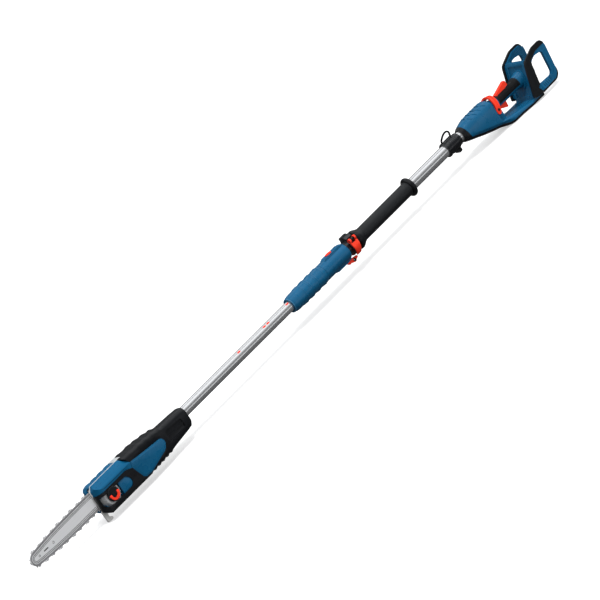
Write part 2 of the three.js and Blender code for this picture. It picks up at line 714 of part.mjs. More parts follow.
const LEAN = Math.tan(rad(BLOCK_LEAN));
const BLOCK_TOP = 37;
const BLOCK_TOP_SLOPE = 6; // fall of the block's top from front to rear
const LEDGE_Z = -54; // shelf behind the block that the battery rail stands on
const BLOCK_FRONT_AT = (z) => -32 - (z + 55) * LEAN; // front face of the battery block
const BLOCK_REAR_AT = (z) => BLOCK_FRONT_AT(z) - BLOCK_DEPTH;

function rearEnvelope() {
  const nose = hull(NOSE_SECTIONS);
  const web = hull([
    { x: 71.5, w: 24, top: 19.5, bottom: -55, rTop: 17, rBottom: 7 },
    { x: 60, w: 20, top: 14.5, bottom: -61.8, rTop: 13, rBottom: 6 },
    { x: 50, w: 18, top: 12, bottom: -65.2, rTop: 12, rBottom: 6 },
  ]);
  const grip = hull([
    { x: 58, w: 17, top: 13.5, bottom: -21, rTop: 13, rBottom: 13 },
    { x: 44, w: GRIP_HALF_WIDTH, top: GRIP_TOP, bottom: GRIP_BOTTOM, rTop: 13, rBottom: 12 },
    { x: -26, w: GRIP_HALF_WIDTH, top: GRIP_TOP - 1, bottom: GRIP_BOTTOM - 1, rTop: 13, rBottom: 12 },
    { x: -44, w: 18, top: 13, bottom: -22, rTop: 14, rBottom: 13 },
    { x: -60, w: 21, top: 16, bottom: -25, rTop: 14, rBottom: 13 },
  ]);
  const foot = hull([
    { x: 78, w: 24, top: -44, bottom: -53.8, rTop: 3, rBottom: 4 },
    { x: 60, w: 28, top: -42, bottom: -61.8, rTop: 7, rBottom: 5 },
    { x: 50, w: 29.6, top: -44.4, bottom: -65.2, rTop: 7, rBottom: 5 },
    { x: 42, w: 30.4, top: -45.8, bottom: -AXIS_HEIGHT, rTop: 7, rBottom: 5 },
    { x: 10, w: FOOT_HALF_WIDTH, top: -50.5, bottom: -AXIS_HEIGHT, rTop: 6, rBottom: 5 },
    { x: -24, w: BLOCK_HALF_WIDTH, top: -54, bottom: -AXIS_HEIGHT, rTop: 5, rBottom: 5 },
    { x: -66, w: BLOCK_HALF_WIDTH, top: LEDGE_Z, bottom: -AXIS_HEIGHT, rTop: 2, rBottom: 5 },
  ]);
  const blockSide = [
    [BLOCK_FRONT_AT(-60), -60],
    [BLOCK_FRONT_AT(BLOCK_TOP - 2), BLOCK_TOP - 2],
    [BLOCK_FRONT_AT(BLOCK_TOP) - 1.5, BLOCK_TOP],
    [BLOCK_REAR_AT(BLOCK_TOP - BLOCK_TOP_SLOPE), BLOCK_TOP - BLOCK_TOP_SLOPE],
    [BLOCK_REAR_AT(-60), -60],
  ];
  const blockPlan = rounded([[0, BLOCK_HALF_WIDTH], [0, -BLOCK_HALF_WIDTH],
    [-150, -BLOCK_HALF_WIDTH], [-150, BLOCK_HALF_WIDTH]], 4);
  const skewed = column(blockPlan, -60, BLOCK_TOP).transform([
    1, 0, 0, 0, 0, 1, 0, 0, -LEAN, 0, 1, 0, BLOCK_FRONT_AT(0), 0, 0, 1,
  ]);
  const block = plate(blockSide, -BLOCK_HALF_WIDTH, BLOCK_HALF_WIDTH).intersect(skewed);
  return nose.add(web).add(grip).add(foot).add(block);
}

// Region under the housing that the soft black skid fills.
function skidRegion(lift) {
  const rise = (x) => lift + SKID_RISE * Math.max(0, x / NOSE_FRONT);
  const top = [...BELLY, [-100, -AXIS_HEIGHT]].map(([x, z]) => [x, z + rise(x)]);
  return plate([[NOSE_FRONT + 1, top[0][1]], ...top, [-100, -90], [NOSE_FRONT + 1, -90]], -60, 60);
}

function buildRearUnit() {
  const envelope = rearEnvelope();
  const stubBore = rod(STUB_REAR, NOSE_FRONT + 1, FRONT_TUBE_R + GAP, 0, 0, TUBE_SEGMENTS);
  const ringRegion = (gap) => plate([[NOSE_FRONT - COLLAR_TOP_LENGTH - gap, 20],
    [NOSE_FRONT - COLLAR_FOOT_LENGTH - gap, -30], [FAR, -80], [FAR, 60], [NOSE_FRONT, 60]], -60, 60);
  const skid = skidRegion(FOOT_THICKNESS);

  const collar = envelope.intersect(ringRegion(0)).subtract(stubBore)
    .subtract(skidRegion(FOOT_THICKNESS + GAP));
  piece('nose_collar', collar, BLACK);

  const overmould = gripOvermould();
  const housing = envelope
    .subtract(ringRegion(GAP))
    .subtract(skidRegion(FOOT_THICKNESS + GAP))
    .subtract(stubBore)
    .subtract(overmould.room)
    .subtract(blockRecess())
    .subtract(triggerRoom())
    .subtract(lockRoom())
    .subtract(switchRoom())
    .subtract(bailScrewRoom())
    .subtract(noseGrooves());
  piece('rear_housing_left', leftHalf(housing), BLUE);
  piece('rear_housing_right', rightHalf(housing), BLUE);
  piece('bottom_skid', envelope.intersect(skid).subtract(stubBore), BLACK);
  piece('grip_overmould', overmould.solid, SOFT_BLACK);
  buildControls();
  buildBail();
  buildGuards();
  buildBatteryMount();
}

// Four shallow grooves across the top of the nose.
function noseGrooves() {
  let cuts = null;
  for (let k = 0; k < 4; k++) {
    const x = 148 - 17 * k;
    const cut = box(x - 1.7, x + 1.7, -14, 14, NOSE_TOP - 2, 30);
    cuts = cuts ? cuts.add(cut) : cut;
  }
  return cuts;
}

// Shallow sunk panel on the block's front face, above and beside the grip's socket.
function blockRecess() {
  const depth = 2.4;
  const border = 9;
  const face = [
    [BLOCK_FRONT_AT(-44) + 1, -44],
    [BLOCK_FRONT_AT(BLOCK_TOP - border) + 1, BLOCK_TOP - border],
    [BLOCK_FRONT_AT(BLOCK_TOP - border) - depth, BLOCK_TOP - border],
    [BLOCK_FRONT_AT(-44) - depth, -44],
  ];
  const panel = plate(face, -BLOCK_HALF_WIDTH + border, BLOCK_HALF_WIDTH - border);
  const socket = hull([
    { x: 0, w: 22, top: 18, bottom: -27, rTop: 16, rBottom: 14 },
    { x: -110, w: 22, top: 18, bottom: -27, rTop: 16, rBottom: 14 },
  ]);
  return panel.subtract(socket);
}

function gripOvermould() {
  const from = 40;
  const to = -38;
  const shell = (grow, deep, ends) => {
    const outer = hull([
      { x: from + ends, w: 15 + grow, top: GRIP_TOP + grow, bottom: GRIP_BOTTOM, rTop: 13, rBottom: 12 },
      { x: -26, w: 15 + grow, top: GRIP_TOP - 1 + grow, bottom: GRIP_BOTTOM - 1, rTop: 13, rBottom: 12 },
      { x: to - ends, w: 17.2 + grow, top: 12.2 + grow, bottom: -21, rTop: 13, rBottom: 12 },
    ]);
    const inner = hull([
      { x: from + 9, w: 15 - deep, top: GRIP_TOP - deep, bottom: GRIP_BOTTOM - 2, rTop: 11, rBottom: 10 },
      { x: -26, w: 15 - deep, top: GRIP_TOP - 1 - deep, bottom: GRIP_BOTTOM - 3, rTop: 11, rBottom: 10 },
      { x: to - 9, w: 17.4 - deep, top: 12.4 - deep, bottom: -23, rTop: 11, rBottom: 10 },
    ]);
    const above = box(-FAR, FAR, -40, 40, -9 - (ends > 0 ? GAP : 0), 40);
    return outer.subtract(inner).intersect(above);
  };
  const room = shell(3, OVERMOULD, GAP);
  const solid = shell(0, OVERMOULD - GAP, 0).subtract(lockRoom());
  return { room, solid };
}

const TRIGGER_X = 44;
const TRIGGER_Z = -15;
const LOCK_X = 30;
const LOCK_Z = 7;

function triggerRoom() {
  const half = TRIGGER_WIDTH / 2 + GAP;
  const slot = box(13, 50, -half, half, -30, -4.5);
  const pivot = pin(-half - 3, half + 3, PIVOT_R + GAP, TRIGGER_X, TRIGGER_Z);
  return slot.add(pivot);
}

function lockRoom() {
  const half = LOCK_WIDTH / 2 + GAP;
  const slot = box(-16, 35, -half, half, 1.5, 40);
  const pivot = pin(-half - 2.5, half + 2.5, PIVOT_R + GAP, LOCK_X, LOCK_Z);
  return slot.add(pivot);
}

function switchRoom() {
  return box(-9, 12, -7.3, 7.3, -12, 0.8).add(box(11, 25, -7.3, 7.3, -5, 0.8));
}

function bailScrewRoom() {
  return pin(-FAR, FAR, BAIL_SCREW_R + GAP, BAIL_PIVOT_X, BAIL_PIVOT_Z);
}

function buildControls() {
  const trigger = plate([
    [48, -18.5],
    [46, -12],
    [38, -10.5],
    [17, -10.5],
    [17, -17],
    [19, -31],
    [22, -31.5],
    [41, -22.5],
  ], ...halfSpan(TRIGGER_WIDTH));
  const trunnions = pin(-TRIGGER_WIDTH / 2 - 2.5, TRIGGER_WIDTH / 2 + 2.5, PIVOT_R, TRIGGER_X, TRIGGER_Z);
  const frontRoom = box(13, 49, ...halfSpan(TRIGGER_WIDTH), -40, -4.6);
  piece('trigger', trigger.intersect(frontRoom).add(trunnions), ORANGE);

  const lock = plate([
    [34, 5],
    [34, 12.4],
    [-8, 24],
    [-12.4, 23],
    [-13, 12.5],
    [-11.5, 10.6],
    [22, 5],
  ], ...halfSpan(LOCK_WIDTH));
  const lockPins = pin(-LOCK_WIDTH / 2 - 2, LOCK_WIDTH / 2 + 2, PIVOT_R, LOCK_X, LOCK_Z);
  piece('lock_off_lever', lock.add(lockPins), ORANGE);

  const body = box(-8.7, 11.7, -7, 7, -12, 0.5).add(box(11, 24.7, -7, 7, -4.2, 0.5));
  piece('switch_module', body.add(pinUp(19, 1.6, -5.9, -4)), BLACK);
}

function buildBail() {
  const outer = [];
  const inner = [];
  const hoopCentre = 7.5; // height of the hoop's arc centre over the pivot
  const outerHalf = BAIL_HALF_WIDTH + BAIL_THICKNESS;
  const steps = 12;
  for (let k = 0; k <= steps; k++) {
    const angle = (Math.PI * k) / steps;
    outer.push([outerHalf * Math.cos(angle), hoopCentre + outerHalf * Math.sin(angle)]);
    inner.push([BAIL_HALF_WIDTH * Math.cos(angle), hoopCentre + BAIL_HALF_WIDTH * Math.sin(angle)]);
  }
  const drop = -13;
  const section2d = [...outer, [-outerHalf, drop], [-BAIL_HALF_WIDTH, drop],
    ...inner.reverse(), [BAIL_HALF_WIDTH, drop], [outerHalf, drop]];
  const arch = beam(section2d, -12, 12);
  const side = rounded([
    [-BAIL_HALF_DEPTH, 40],
    [-BAIL_HALF_DEPTH, 4],
    [-7.4, 0],
    [-5.5, -10],
    [0.5, -13],
    [6, -9],
    [7, 0],
    [BAIL_HALF_DEPTH, 8],
    [BAIL_HALF_DEPTH, 40],
  ], 3, 2);
  const groove = beam(
    [...outer.map(([y, z]) => [y * 1.2, z > 0 ? z * 1.2 : z]),
      ...outer.map(([y, z]) => [y * 0.965, z > 0 ? z * 0.965 : z]).reverse()],
    -1.6, 1.6,
  );
  const hole = pin(-FAR, FAR, BAIL_SCREW_R + GAP, 0, 0);
  const bail = arch.intersect(plate(side, -40, 40))
    .subtract(groove.intersect(box(-5, 5, -60, 60, 6, 60)))
    .subtract(hole)
    .rotate([0, -BAIL_LEAN, 0])
    .translate([BAIL_PIVOT_X, 0, BAIL_PIVOT_Z]);
  piece('bail', bail, ORANGE);

  const inside = BAIL_HALF_WIDTH - 8;
  const outside = BAIL_HALF_WIDTH + BAIL_THICKNESS + GAP;
  const shank = pin(inside, outside, BAIL_SCREW_R, BAIL_PIVOT_X, BAIL_PIVOT_Z);
  const head = turnedY([[outside, 0], [outside, 3.6], [outside + 1.4, 3], [outside + 1.4, 0]],
    BAIL_PIVOT_X, BAIL_PIVOT_Z);
  piece('bail_screw_left', shank.add(head), STEEL);
  piece('bail_screw_right', mirrorY(shank.add(head)), STEEL);
}

const GUARD_OUTLINE = [[-29, -50], [-56, -55.4], [-116, -54], [-128, -44.5], [-142, 35], [-135, 50.6],
  [-103, 50.2], [-62, 34]];
const GUARD_WINDOW = [[-65, -34], [-108, -36], [-114.5, -29], [-122.5, 26], [-97, 31], [-79, 23.5]];

// Part of a guard that stays blue on its outside: the top, rear and lower struts.
const GUARD_INSERT = [[-57, -38], [-63, -51.6], [-115, -50.4], [-124.6, -43], [-160, 30], [-160, 38],
  [-107, 37.6], [-79, 25.4], [-86, 10], [-74, -28]];

function buildGuards() {
  const outline = rounded(GUARD_OUTLINE, 6);
  const window = rounded(GUARD_WINDOW, 6);
  const y0 = GUARD_INNER_Y;
  const y1 = GUARD_INNER_Y + GUARD_THICKNESS;
  const seat = y0 + RIM_SEAT;
  const windowRoom = plate(window, y0 - 1, y1 + 1);
  const backPlate = plate(inflate(outline, -RIM_OVERHANG), y0, seat);
  const front = plate(outline, y0, y1).intersect(plate(GUARD_INSERT, y0, y1));
  const baseSide = [[BLOCK_FRONT_AT(-46) - 2, -46], [BLOCK_FRONT_AT(28) - 2, 28], [BLOCK_REAR_AT(28) + 3, 28],
    [BLOCK_REAR_AT(-46) + 3, -46]];
  const base = plate(baseSide, BLOCK_HALF_WIDTH, y0 + 1);
  const guard = backPlate.add(front).subtract(windowRoom).add(base);
  const rim = plate(inflate(outline, RIM_PROUD), seat, y1 + RIM_PROUD)
    .subtract(windowRoom)
    .subtract(plate(inflate(GUARD_INSERT, GAP), y0, y1 + 5));
  piece('guard_left', guard, BLUE);
  piece('guard_rim_left', rim, BLACK);
  piece('guard_right', mirrorY(guard), BLUE);
  piece('guard_rim_right', mirrorY(rim), BLACK);
}

// Moves every edge of a clockwise or anticlockwise outline outwards by a distance.
function inflate(points, distance) {
  const area = points.reduce((sum, [u, v], i) => {
    const [p, q] = points[(i + 1) % points.length];
    return sum + u * q - p * v;
  }, 0);
  const sign = Math.sign(area);
  return points.map((here, i) => {
    const before = points[(i + points.length - 1) % points.length];
    const after = points[(i + 1) % points.length];
    const n1 = edgeNormal(before, here, sign);
    const n2 = edgeNormal(here, after, sign);
    const scale = distance / Math.max(0.4, 1 + n1[0] * n2[0] + n1[1] * n2[1]);
    return [here[0] + (n1[0] + n2[0]) * scale, here[1] + (n1[1] + n2[1]) * scale];
  });
}

function edgeNormal([u0, v0], [u1, v1], sign) {
  const length = Math.hypot(u1 - u0, v1 - v0);
  return [(sign * (v1 - v0)) / length, (-sign * (u1 - u0)) / length];
}

function buildBatteryMount() {
  const slab = (near, far, z0, z1) => [
    [BLOCK_REAR_AT(z0) - near, z0],
    [BLOCK_REAR_AT(z1) - near, z1],
    [BLOCK_REAR_AT(z1) - far, z1],
    [BLOCK_REAR_AT(z0) - far, z0],
  ];
  const plateSolid = plate(slab(GAP, 4, LEDGE_Z, 27), -30, 30);
  const web = plate(slab(3.5, 10, -46, 25), 20, 25);
  const lip = plate(slab(7, 10, -46, 25), 14, 25);
  const stop = plate(slab(3.5, 9, -52, -46), -25, 25);
  const shelf = plate(slab(3.5, 9, -33, -30), -12, 12);
  const rail = plateSolid.add(web).add(lip).add(mirrorY(web)).add(mirrorY(lip)).add(stop).add(shelf);
  piece('battery_rail', rail, BLACK);
  let terminals = plate(slab(4 + GAP, 9, -30, 2), -11, 11);
  for (const y of [-8, 0, 8]) {
    terminals = terminals.add(plate(slab(8.5, 17, -26, -4), y - 0.5, y + 0.5));
  }
  piece('terminal_block', terminals, GREY);
}

// ---------------------------------------------------------------- head

const SHELL_FRONT = -CASE_LENGTH - 22; // where the right side of the motor housing starts
const PANEL_FLOOR = 26;
const RIBS_FRONT = -165; // first section of the motor housing's ribbed part
const UPPER_RIB_PITCH = 25;
const LOWER_RIB_PITCH = 17;

// The ribbed part of the motor housing: sections half a lower rib apart.
function ribbedSections() {
  const sections = [];
  const steps = 10;
  for (let k = 0; k <= steps; k++) {
    const u = RIBS_FRONT - (LOWER_RIB_PITCH / 2) * k;
    const share = k / steps;
    const upper = 1.3 * Math.cos((2 * Math.PI * (u - RIBS_FRONT + 12)) / UPPER_RIB_PITCH);
    const lower = k % 2 === 0 ? 1.6 : -1.6;
    const top = 34.2 - 8.6 * share ** 1.6 + upper;
    const corner = 9 + 2 * share;
    sections.push([u, 30 - 5 * share ** 2, top, -46.2 - lower + share, corner, corner]);
  }
  return sections;
}

// Sections of the motor housing; the first number is measured from the head's front face.
const SHELL_SECTIONS = [
  [-112, 29, 35.4, -46, 8, 8],
  [-122, 30, 36, -46.4, 9, 8],
  [-132, 30, 34.6, -46.4, 9, 8],
  [-141, 30, 35.6, -46.6, 9, 8],
  [-151, 30, 34, -46.8, 9, 8],
  ...ribbedSections(),
  [-258, 23, 22.4, -45, 12, 12],
  [-HEAD_LENGTH + 79, 22.5, 21.6, -43.6, 13, 12],
  [-HEAD_LENGTH + 54, 22, 20.6, -41, 13, 12],
  [-HEAD_LENGTH + 24, 21.2, 19.4, -38.5, 13, 12],
  [-HEAD_LENGTH + 6, 20, 18.6, -36, 14, 12],
  [-HEAD_LENGTH, 17.4, 16.8, -30, 14, 11],
].map(([x, w, top, bottom, rTop, rBottom]) => ({ x: HEAD_FRONT + x, w, top, bottom, rTop, rBottom }));

const hx = (u) => HEAD_FRONT + u;
const BAR_PAD = [[-14, 4], [-55, 4], [-55, -14.4], [-14, -14.4]]; // raised pads that grip the bar
const headPoints = (points) => points.map(([u, z]) => [hx(u), z]);

function buildMotorHousing() {
  const shell = hull(SHELL_SECTIONS);
  const tubeEnd = -HEAD_LENGTH + TUBE_IN_HEAD;
  const socket = rod(hx(-HEAD_LENGTH - 1), hx(tubeEnd), FRONT_TUBE_R + GAP, 0, 0, TUBE_SEGMENTS);
  const controllerRoom = box(hx(-222), hx(-162), -20.3, 20.3, -38, -8);
  const farFront = box(hx(SHELL_FRONT), FAR * 10, -60, SPLIT_Y, -90, 90);
  const coverRoom = [[-113, 42], ...COVER_SEAM, [60, -60], [60, 60], [-113, 60]];
  const nearFront = plate(headPoints(coverRoom), SPLIT_Y, 60);
  const panelRoom = plate(inflate(badgeOutline(), GAP), PANEL_FLOOR, 60);
  const rearOfSeam = box(hx(-FAR), hx(SHELL_FRONT - 4), -60, 60, -60, 60);
  const neck = -HEAD_LENGTH;
  const recess = (side) => {
    const outline = rounded([[neck + 81, 8], [neck + 85, -6], [neck + 85, -24], [neck + 25, -22],
      [neck + 25, 2]], 5);
    const ribSide = [[neck + 90, -9], [neck + 90, -12], [neck + 20, -11], [neck + 20, -8]];
    const rib = plate(headPoints(ribSide), 0, 20.4);
    const cut = plate(headPoints(outline), 18.4, 60).subtract(rib);
    return side > 0 ? cut : mirrorY(cut);
  };
  const common = shell
    .subtract(farFront)
    .subtract(nearFront)
    .subtract(socket)
    .subtract(controllerRoom)
    .subtract(panelRoom)
    .subtract(mirrorY(panelRoom).intersect(rearOfSeam))
    .subtract(recess(1))
    .subtract(recess(-1));
  piece('motor_housing_left', leftHalf(common), BLACK);
  piece('motor_housing_right', rightHalf(common), BLACK);
  const badge = plate(badgeOutline(), PANEL_FLOOR, HEAD_HALF_WIDTH + 1);
  piece('side_panel_left', badge, BLUE);
  piece('side_panel_right', mirrorY(badge).intersect(rearOfSeam.translate([-GAP, 0, 0])), BLUE);
  piece('motor_controller', box(hx(-221.7), hx(-162.3), -20, 20, -38, -8 - GAP), BLACK);
}

// The side panel's front corners, top first, then from the bottom up.
const PANEL_FRONT = [[-129.4, 17.4], [-167, -40.5], [-145.6, -39.6], [-137.8, -33.8], [-125.4, 1.6]];

// Seam between the motor housing and the sprocket cover with its frame, top to bottom.
const COVER_SEAM = [[-129, 17], [-125, 2], [-137.3, -33.9], [-145.3, -40], [-158.5, -43.4], [-158.5, -60]];

function badgeOutline() {
  const [top, ...front] = PANEL_FRONT;
  const rear = rounded([top, [-239, 5], [-245, -9], [-233, -24.5], ...front], 5);
  return headPoints([top, ...rear.slice(3, 12), ...front]);
}

// Outline of the gear case with its scalloped top edge.
function caseOutline(inset) {
  const points = [];
  const scallops = 4;
  const from = -9;
  const to = -CASE_LENGTH;
  const steps = 3;
  for (let k = 0; k <= scallops * steps; k++) {
    const share = k / (scallops * steps);
    const wave = Math.abs(Math.sin(Math.PI * scallops * share));
    points.push([hx(from + (to - from) * share), HEAD_TOP - 1 + 2.4 * wave - inset]);
  }
  points.push([hx(to), HEAD_BOTTOM + inset]);
  points.push([hx(-12), HEAD_BOTTOM + inset]);
  points.push([hx(-inset), HEAD_BOTTOM + 11]);
  points.push([hx(-inset), HEAD_TOP - 11]);
  return points;
}

function buildGearCase() {
  const shell = crossLoft([
    { y: SPLIT_Y, outline: caseOutline(0) },
    { y: -16, outline: caseOutline(0) },
    { y: -25, outline: caseOutline(2.6) },
    { y: -28.6, outline: caseOutline(4.4) },
    { y: -HEAD_HALF_WIDTH, outline: caseOutline(7) },
  ]);
  const roomRear = -CASE_LENGTH + CHAIN_ROOM_WALL;
  const chainRoom = plate(headPoints([[2, 32], [roomRear, 32], [roomRear, -33], [2, -33]]), -8, SPLIT_Y + 1);
  const rotorRoom = pin(-HEAD_HALF_WIDTH + CASE_WALL, -7.9, ROTOR_R + 1.4, hx(DRIVE_X), 0, 32);
  const hookRoom = box(hx(HOOK_FRONT - HOOK_LEG_WIDTH), hx(4), -HOOK_THICKNESS / 2, SPLIT_Y + 1, -60, -32);
  const studHeadRoom = pin(-12.2, -7.9, 8.4, hx(KNOB_X), KNOB_Z, 24);
  const gearCase = shell
    .subtract(chainRoom)
    .subtract(rotorRoom)
    .subtract(studHeadRoom)
    .subtract(hookRoom)
    .subtract(coolingSlots());
  piece('far_cover', gearCase, BLUE);

  // oil tank between the gear case and the motor housing, its fill neck on the right side
  const tankBack = SHELL_FRONT + GAP;
  const tankFront = -CASE_LENGTH - GAP;
  const tank = hull([
    { x: hx(tankBack), w: 29.4, top: 35.6, bottom: -45.6, rTop: 9, rBottom: 8 },
    { x: hx(tankFront), w: 29.4, top: 35.6, bottom: -45.6, rTop: 9, rBottom: 8 },
  ]).intersect(box(hx(-FAR), hx(10), -60, SPLIT_Y, -90, 90));
  const capX = hx((tankBack + tankFront) / 2);
  const neck = pin(-60, -23, 6 + GAP, capX, 8);
  piece('oil_tank', tank.subtract(neck), TANK);
  const cap = turnedY([
    [-23.5, 0],
    [-23.5, 6],
    [-29.8, 6],
    [-29.8, CAP_R],
    [-35.5, CAP_R],
    [-36.5, CAP_R - 1],
    [-36.5, 0],
  ], capX, 8, 20);
  const flutes = 10;
  let fluted = cap.add(box(capX - 7, capX + 7, -39, -36, 6.4, 9.6));
  for (let k = 0; k < flutes; k++) {
    const angle = (2 * Math.PI * k) / flutes;
    const [u, v] = [(CAP_R + 1) * Math.cos(angle), (CAP_R + 1) * Math.sin(angle)];
    fluted = fluted.subtract(pin(-37, -31, 1.8, capX + u, 8 + v, 6));
  }
  piece('oil_cap', fluted, BLACK);

  // plate that carries motor, stud and bar
  const plateOutline = [[-6, 28], [-CASE_LENGTH + 5, 28], [-CASE_LENGTH + 5, -30], [-6, -30]];
  const stud = [hx(KNOB_X), KNOB_Z];
  const base = plate(headPoints(plateOutline), -8, -4)
    .add(plate(headPoints(BAR_PAD), -5, -BAR_THICKNESS / 2))
    .subtract(pin(-9, 0, 7, hx(DRIVE_X), 0))
    .subtract(pin(-9, 0, STUD_R + GAP, ...stud));
  piece('base_plate', base, ALUMINIUM);
  const studHead = pin(-11.6, -8, 7.5, ...stud, 6);
  const studShank = pin(-9, 30, STUD_R, ...stud, 20);
  piece('bar_stud', studHead.add(studShank), STEEL);
}

// Vent slots in the right-hand face of the gear case.
function coolingSlots() {
  let slots = null;
  for (let k = 0; k < 4; k++) {
    const u = DRIVE_X - 15 + 10 * k;
    const half = 12 - Math.abs(k - 1.5) * 3;
    const cut = plate(headPoints([[u, half], [u + 3.4, half], [u + 3.4, -half], [u, -half]]), -40, -20);
    slots = slots ? slots.add(cut) : cut;
  }
  return slots;
}

function buildDrive() {
  const x = hx(DRIVE_X);
  const shaftR = 3.5;
  const bellFront = -9.6;
  const bellBack = -26.4;
  const bell = turnedY([
    [bellBack, 0],
    [bellBack, ROTOR_R - 2],
    [bellBack + 2, ROTOR_R],
    [bellFront, ROTOR_R],
    [bellFront, ROTOR_R - 3],
    [bellBack + 2.4, ROTOR_R - 3],
    [bellBack + 2.4, shaftR],
    [3.4, shaftR],
    [3.4, 0],
  ], x, 0, 32);
  piece('motor_rotor', bell, STEEL);

  const stator = [];
  const poles = 9;
  for (let k = 0; k < poles; k++) {
    for (const [share, radius] of [[0.08, ROTOR_R - 3.8], [0.62, ROTOR_R - 3.8], [0.7, 10.5], [0.98, 10.5]]) {
      const angle = (2 * Math.PI * (k + share)) / poles;
      stator.push([x + radius * Math.cos(angle), radius * Math.sin(angle)]);
    }
  }
  const bearing = circle(x, 0, shaftR + GAP, 20);
  const laminations = plate(stator, bellBack + 3.4, bellFront - 1.4, [bearing]);
  const hub = pin(bellFront - 2, -4.2, 6.7, x, 0, 20)
    .add(pin(-9.4, -8, 9.5, x, 0, 20))
    .subtract(pin(-20, 0, shaftR + GAP, x, 0, 20));
  piece('motor_stator', laminations.add(hub), COPPER);

  const teeth = [];
  const tipR = PITCH_R - 7.7;
  for (let k = 0; k < DRIVE_TEETH; k++) {
    const tooth = [[0, tipR - 2], [0.22, tipR - 1.6], [0.36, tipR], [0.64, tipR], [0.78, tipR - 1.6]];
    for (const [share, radius] of tooth) {
      const angle = (2 * Math.PI * (k + share)) / DRIVE_TEETH;
      teeth.push([x + radius * Math.cos(angle), radius * Math.sin(angle)]);
    }
  }
  const sprocket = plate(teeth, -2.6, 2.6, [circle(x, 0, shaftR + 0.05, 20)]);
  piece('drive_sprocket', sprocket, STEEL);
}

const NOSE_CENTRE = BAR_REACH - BAR_NOSE_R;

// Upper rail of the bar as [u, z] from tail to nose, u being measured from the head's front face.
const RAIL = [
  [-BAR_TAIL, BAR_TAIL_HALF_HEIGHT],
  [-25, BAR_HALF_HEIGHT - 0.5],
  [0.13 * NOSE_CENTRE, BAR_HALF_HEIGHT],
  [0.33 * NOSE_CENTRE, BAR_HALF_HEIGHT + 0.1],
  [0.51 * NOSE_CENTRE, BAR_HALF_HEIGHT - 0.4],
  [0.66 * NOSE_CENTRE, BAR_HALF_HEIGHT - 1.5],
  [0.79 * NOSE_CENTRE, BAR_HALF_HEIGHT - 3.1],
  [0.905 * NOSE_CENTRE, BAR_HALF_HEIGHT - 5],
  [NOSE_CENTRE, BAR_NOSE_R],
];

// Rail outline, offset outwards by a distance, as [u, z] from the tail round the nose.
function barEdge(offset) {
  const upper = RAIL.map(([u, z]) => [u, z + offset]);
  const nose = [];
  const arcSteps = 12;
  const radius = BAR_NOSE_R + offset;
  for (let k = 1; k < arcSteps; k++) {
    const angle = Math.PI / 2 - (Math.PI * k) / arcSteps;
    nose.push([NOSE_CENTRE + radius * Math.cos(angle), radius * Math.sin(angle)]);
  }
  const lower = upper.map(([u, z]) => [u, -z]).reverse();
  return [...upper, ...nose, ...lower];
}

function buildBar() {
  const tail = (edge, reach) => [...edge, [-BAR_TAIL - reach, -8], [-BAR_TAIL - reach, 8]];
  const outline = headPoints(tail(barEdge(0), 3));
  const core = headPoints(tail(barEdge(-BAR_GROOVE_DEPTH), 0));
  const grooveOuter = headPoints(tail(barEdge(4), 8));
  const half = BAR_THICKNESS / 2;
  const slotHalf = STUD_R + GAP;
  const slot = rounded(headPoints([[-52, KNOB_Z + slotHalf], [-52, KNOB_Z - slotHalf],
    [-18, KNOB_Z - slotHalf], [-18, KNOB_Z + slotHalf]]), slotHalf, 3);
  const groove = plate(grooveOuter, ...halfSpan(BAR_GROOVE), [core]);
  const nose = [hx(NOSE_CENTRE), 0];
  const hubR = 3.2;
  const sprocketRoom = plate(circle(...nose, BAR_NOSE_R - 3.5, 24), ...halfSpan(BAR_GROOVE),
    [circle(...nose, hubR, 12)]);
  const bar = plate(outline, -half, half, [slot])
    .subtract(groove)
    .subtract(sprocketRoom)
    .subtract(pin(-half - 1, half + 1, 2.2, hx(NOSE_CENTRE - 66), 0, 12))
    .subtract(pin(-half - 1, half + 1, 1.8, hx(NOSE_CENTRE - 12.6), 0, 12));
  piece('guide_bar', bar, BAR_STEEL);

  const teeth = [];
  const tipR = BAR_NOSE_R - 4.9;
  for (let k = 0; k < NOSE_SPROCKET_TEETH; k++) {
    const tooth = [[0, tipR - 2.2], [0.25, tipR - 1.6], [0.4, tipR], [0.6, tipR], [0.75, tipR - 1.6]];
    for (const [share, radius] of tooth) {
      const angle = (2 * Math.PI * (k + share)) / NOSE_SPROCKET_TEETH;
      teeth.push([nose[0] + radius * Math.cos(angle), nose[1] + radius * Math.sin(angle)]);
    }
  }
  const thickness = BAR_GROOVE - 0.4;
  piece('nose_sprocket', plate(teeth, ...halfSpan(thickness), [circle(...nose, hubR + 0.2, 12)]), STEEL);
}

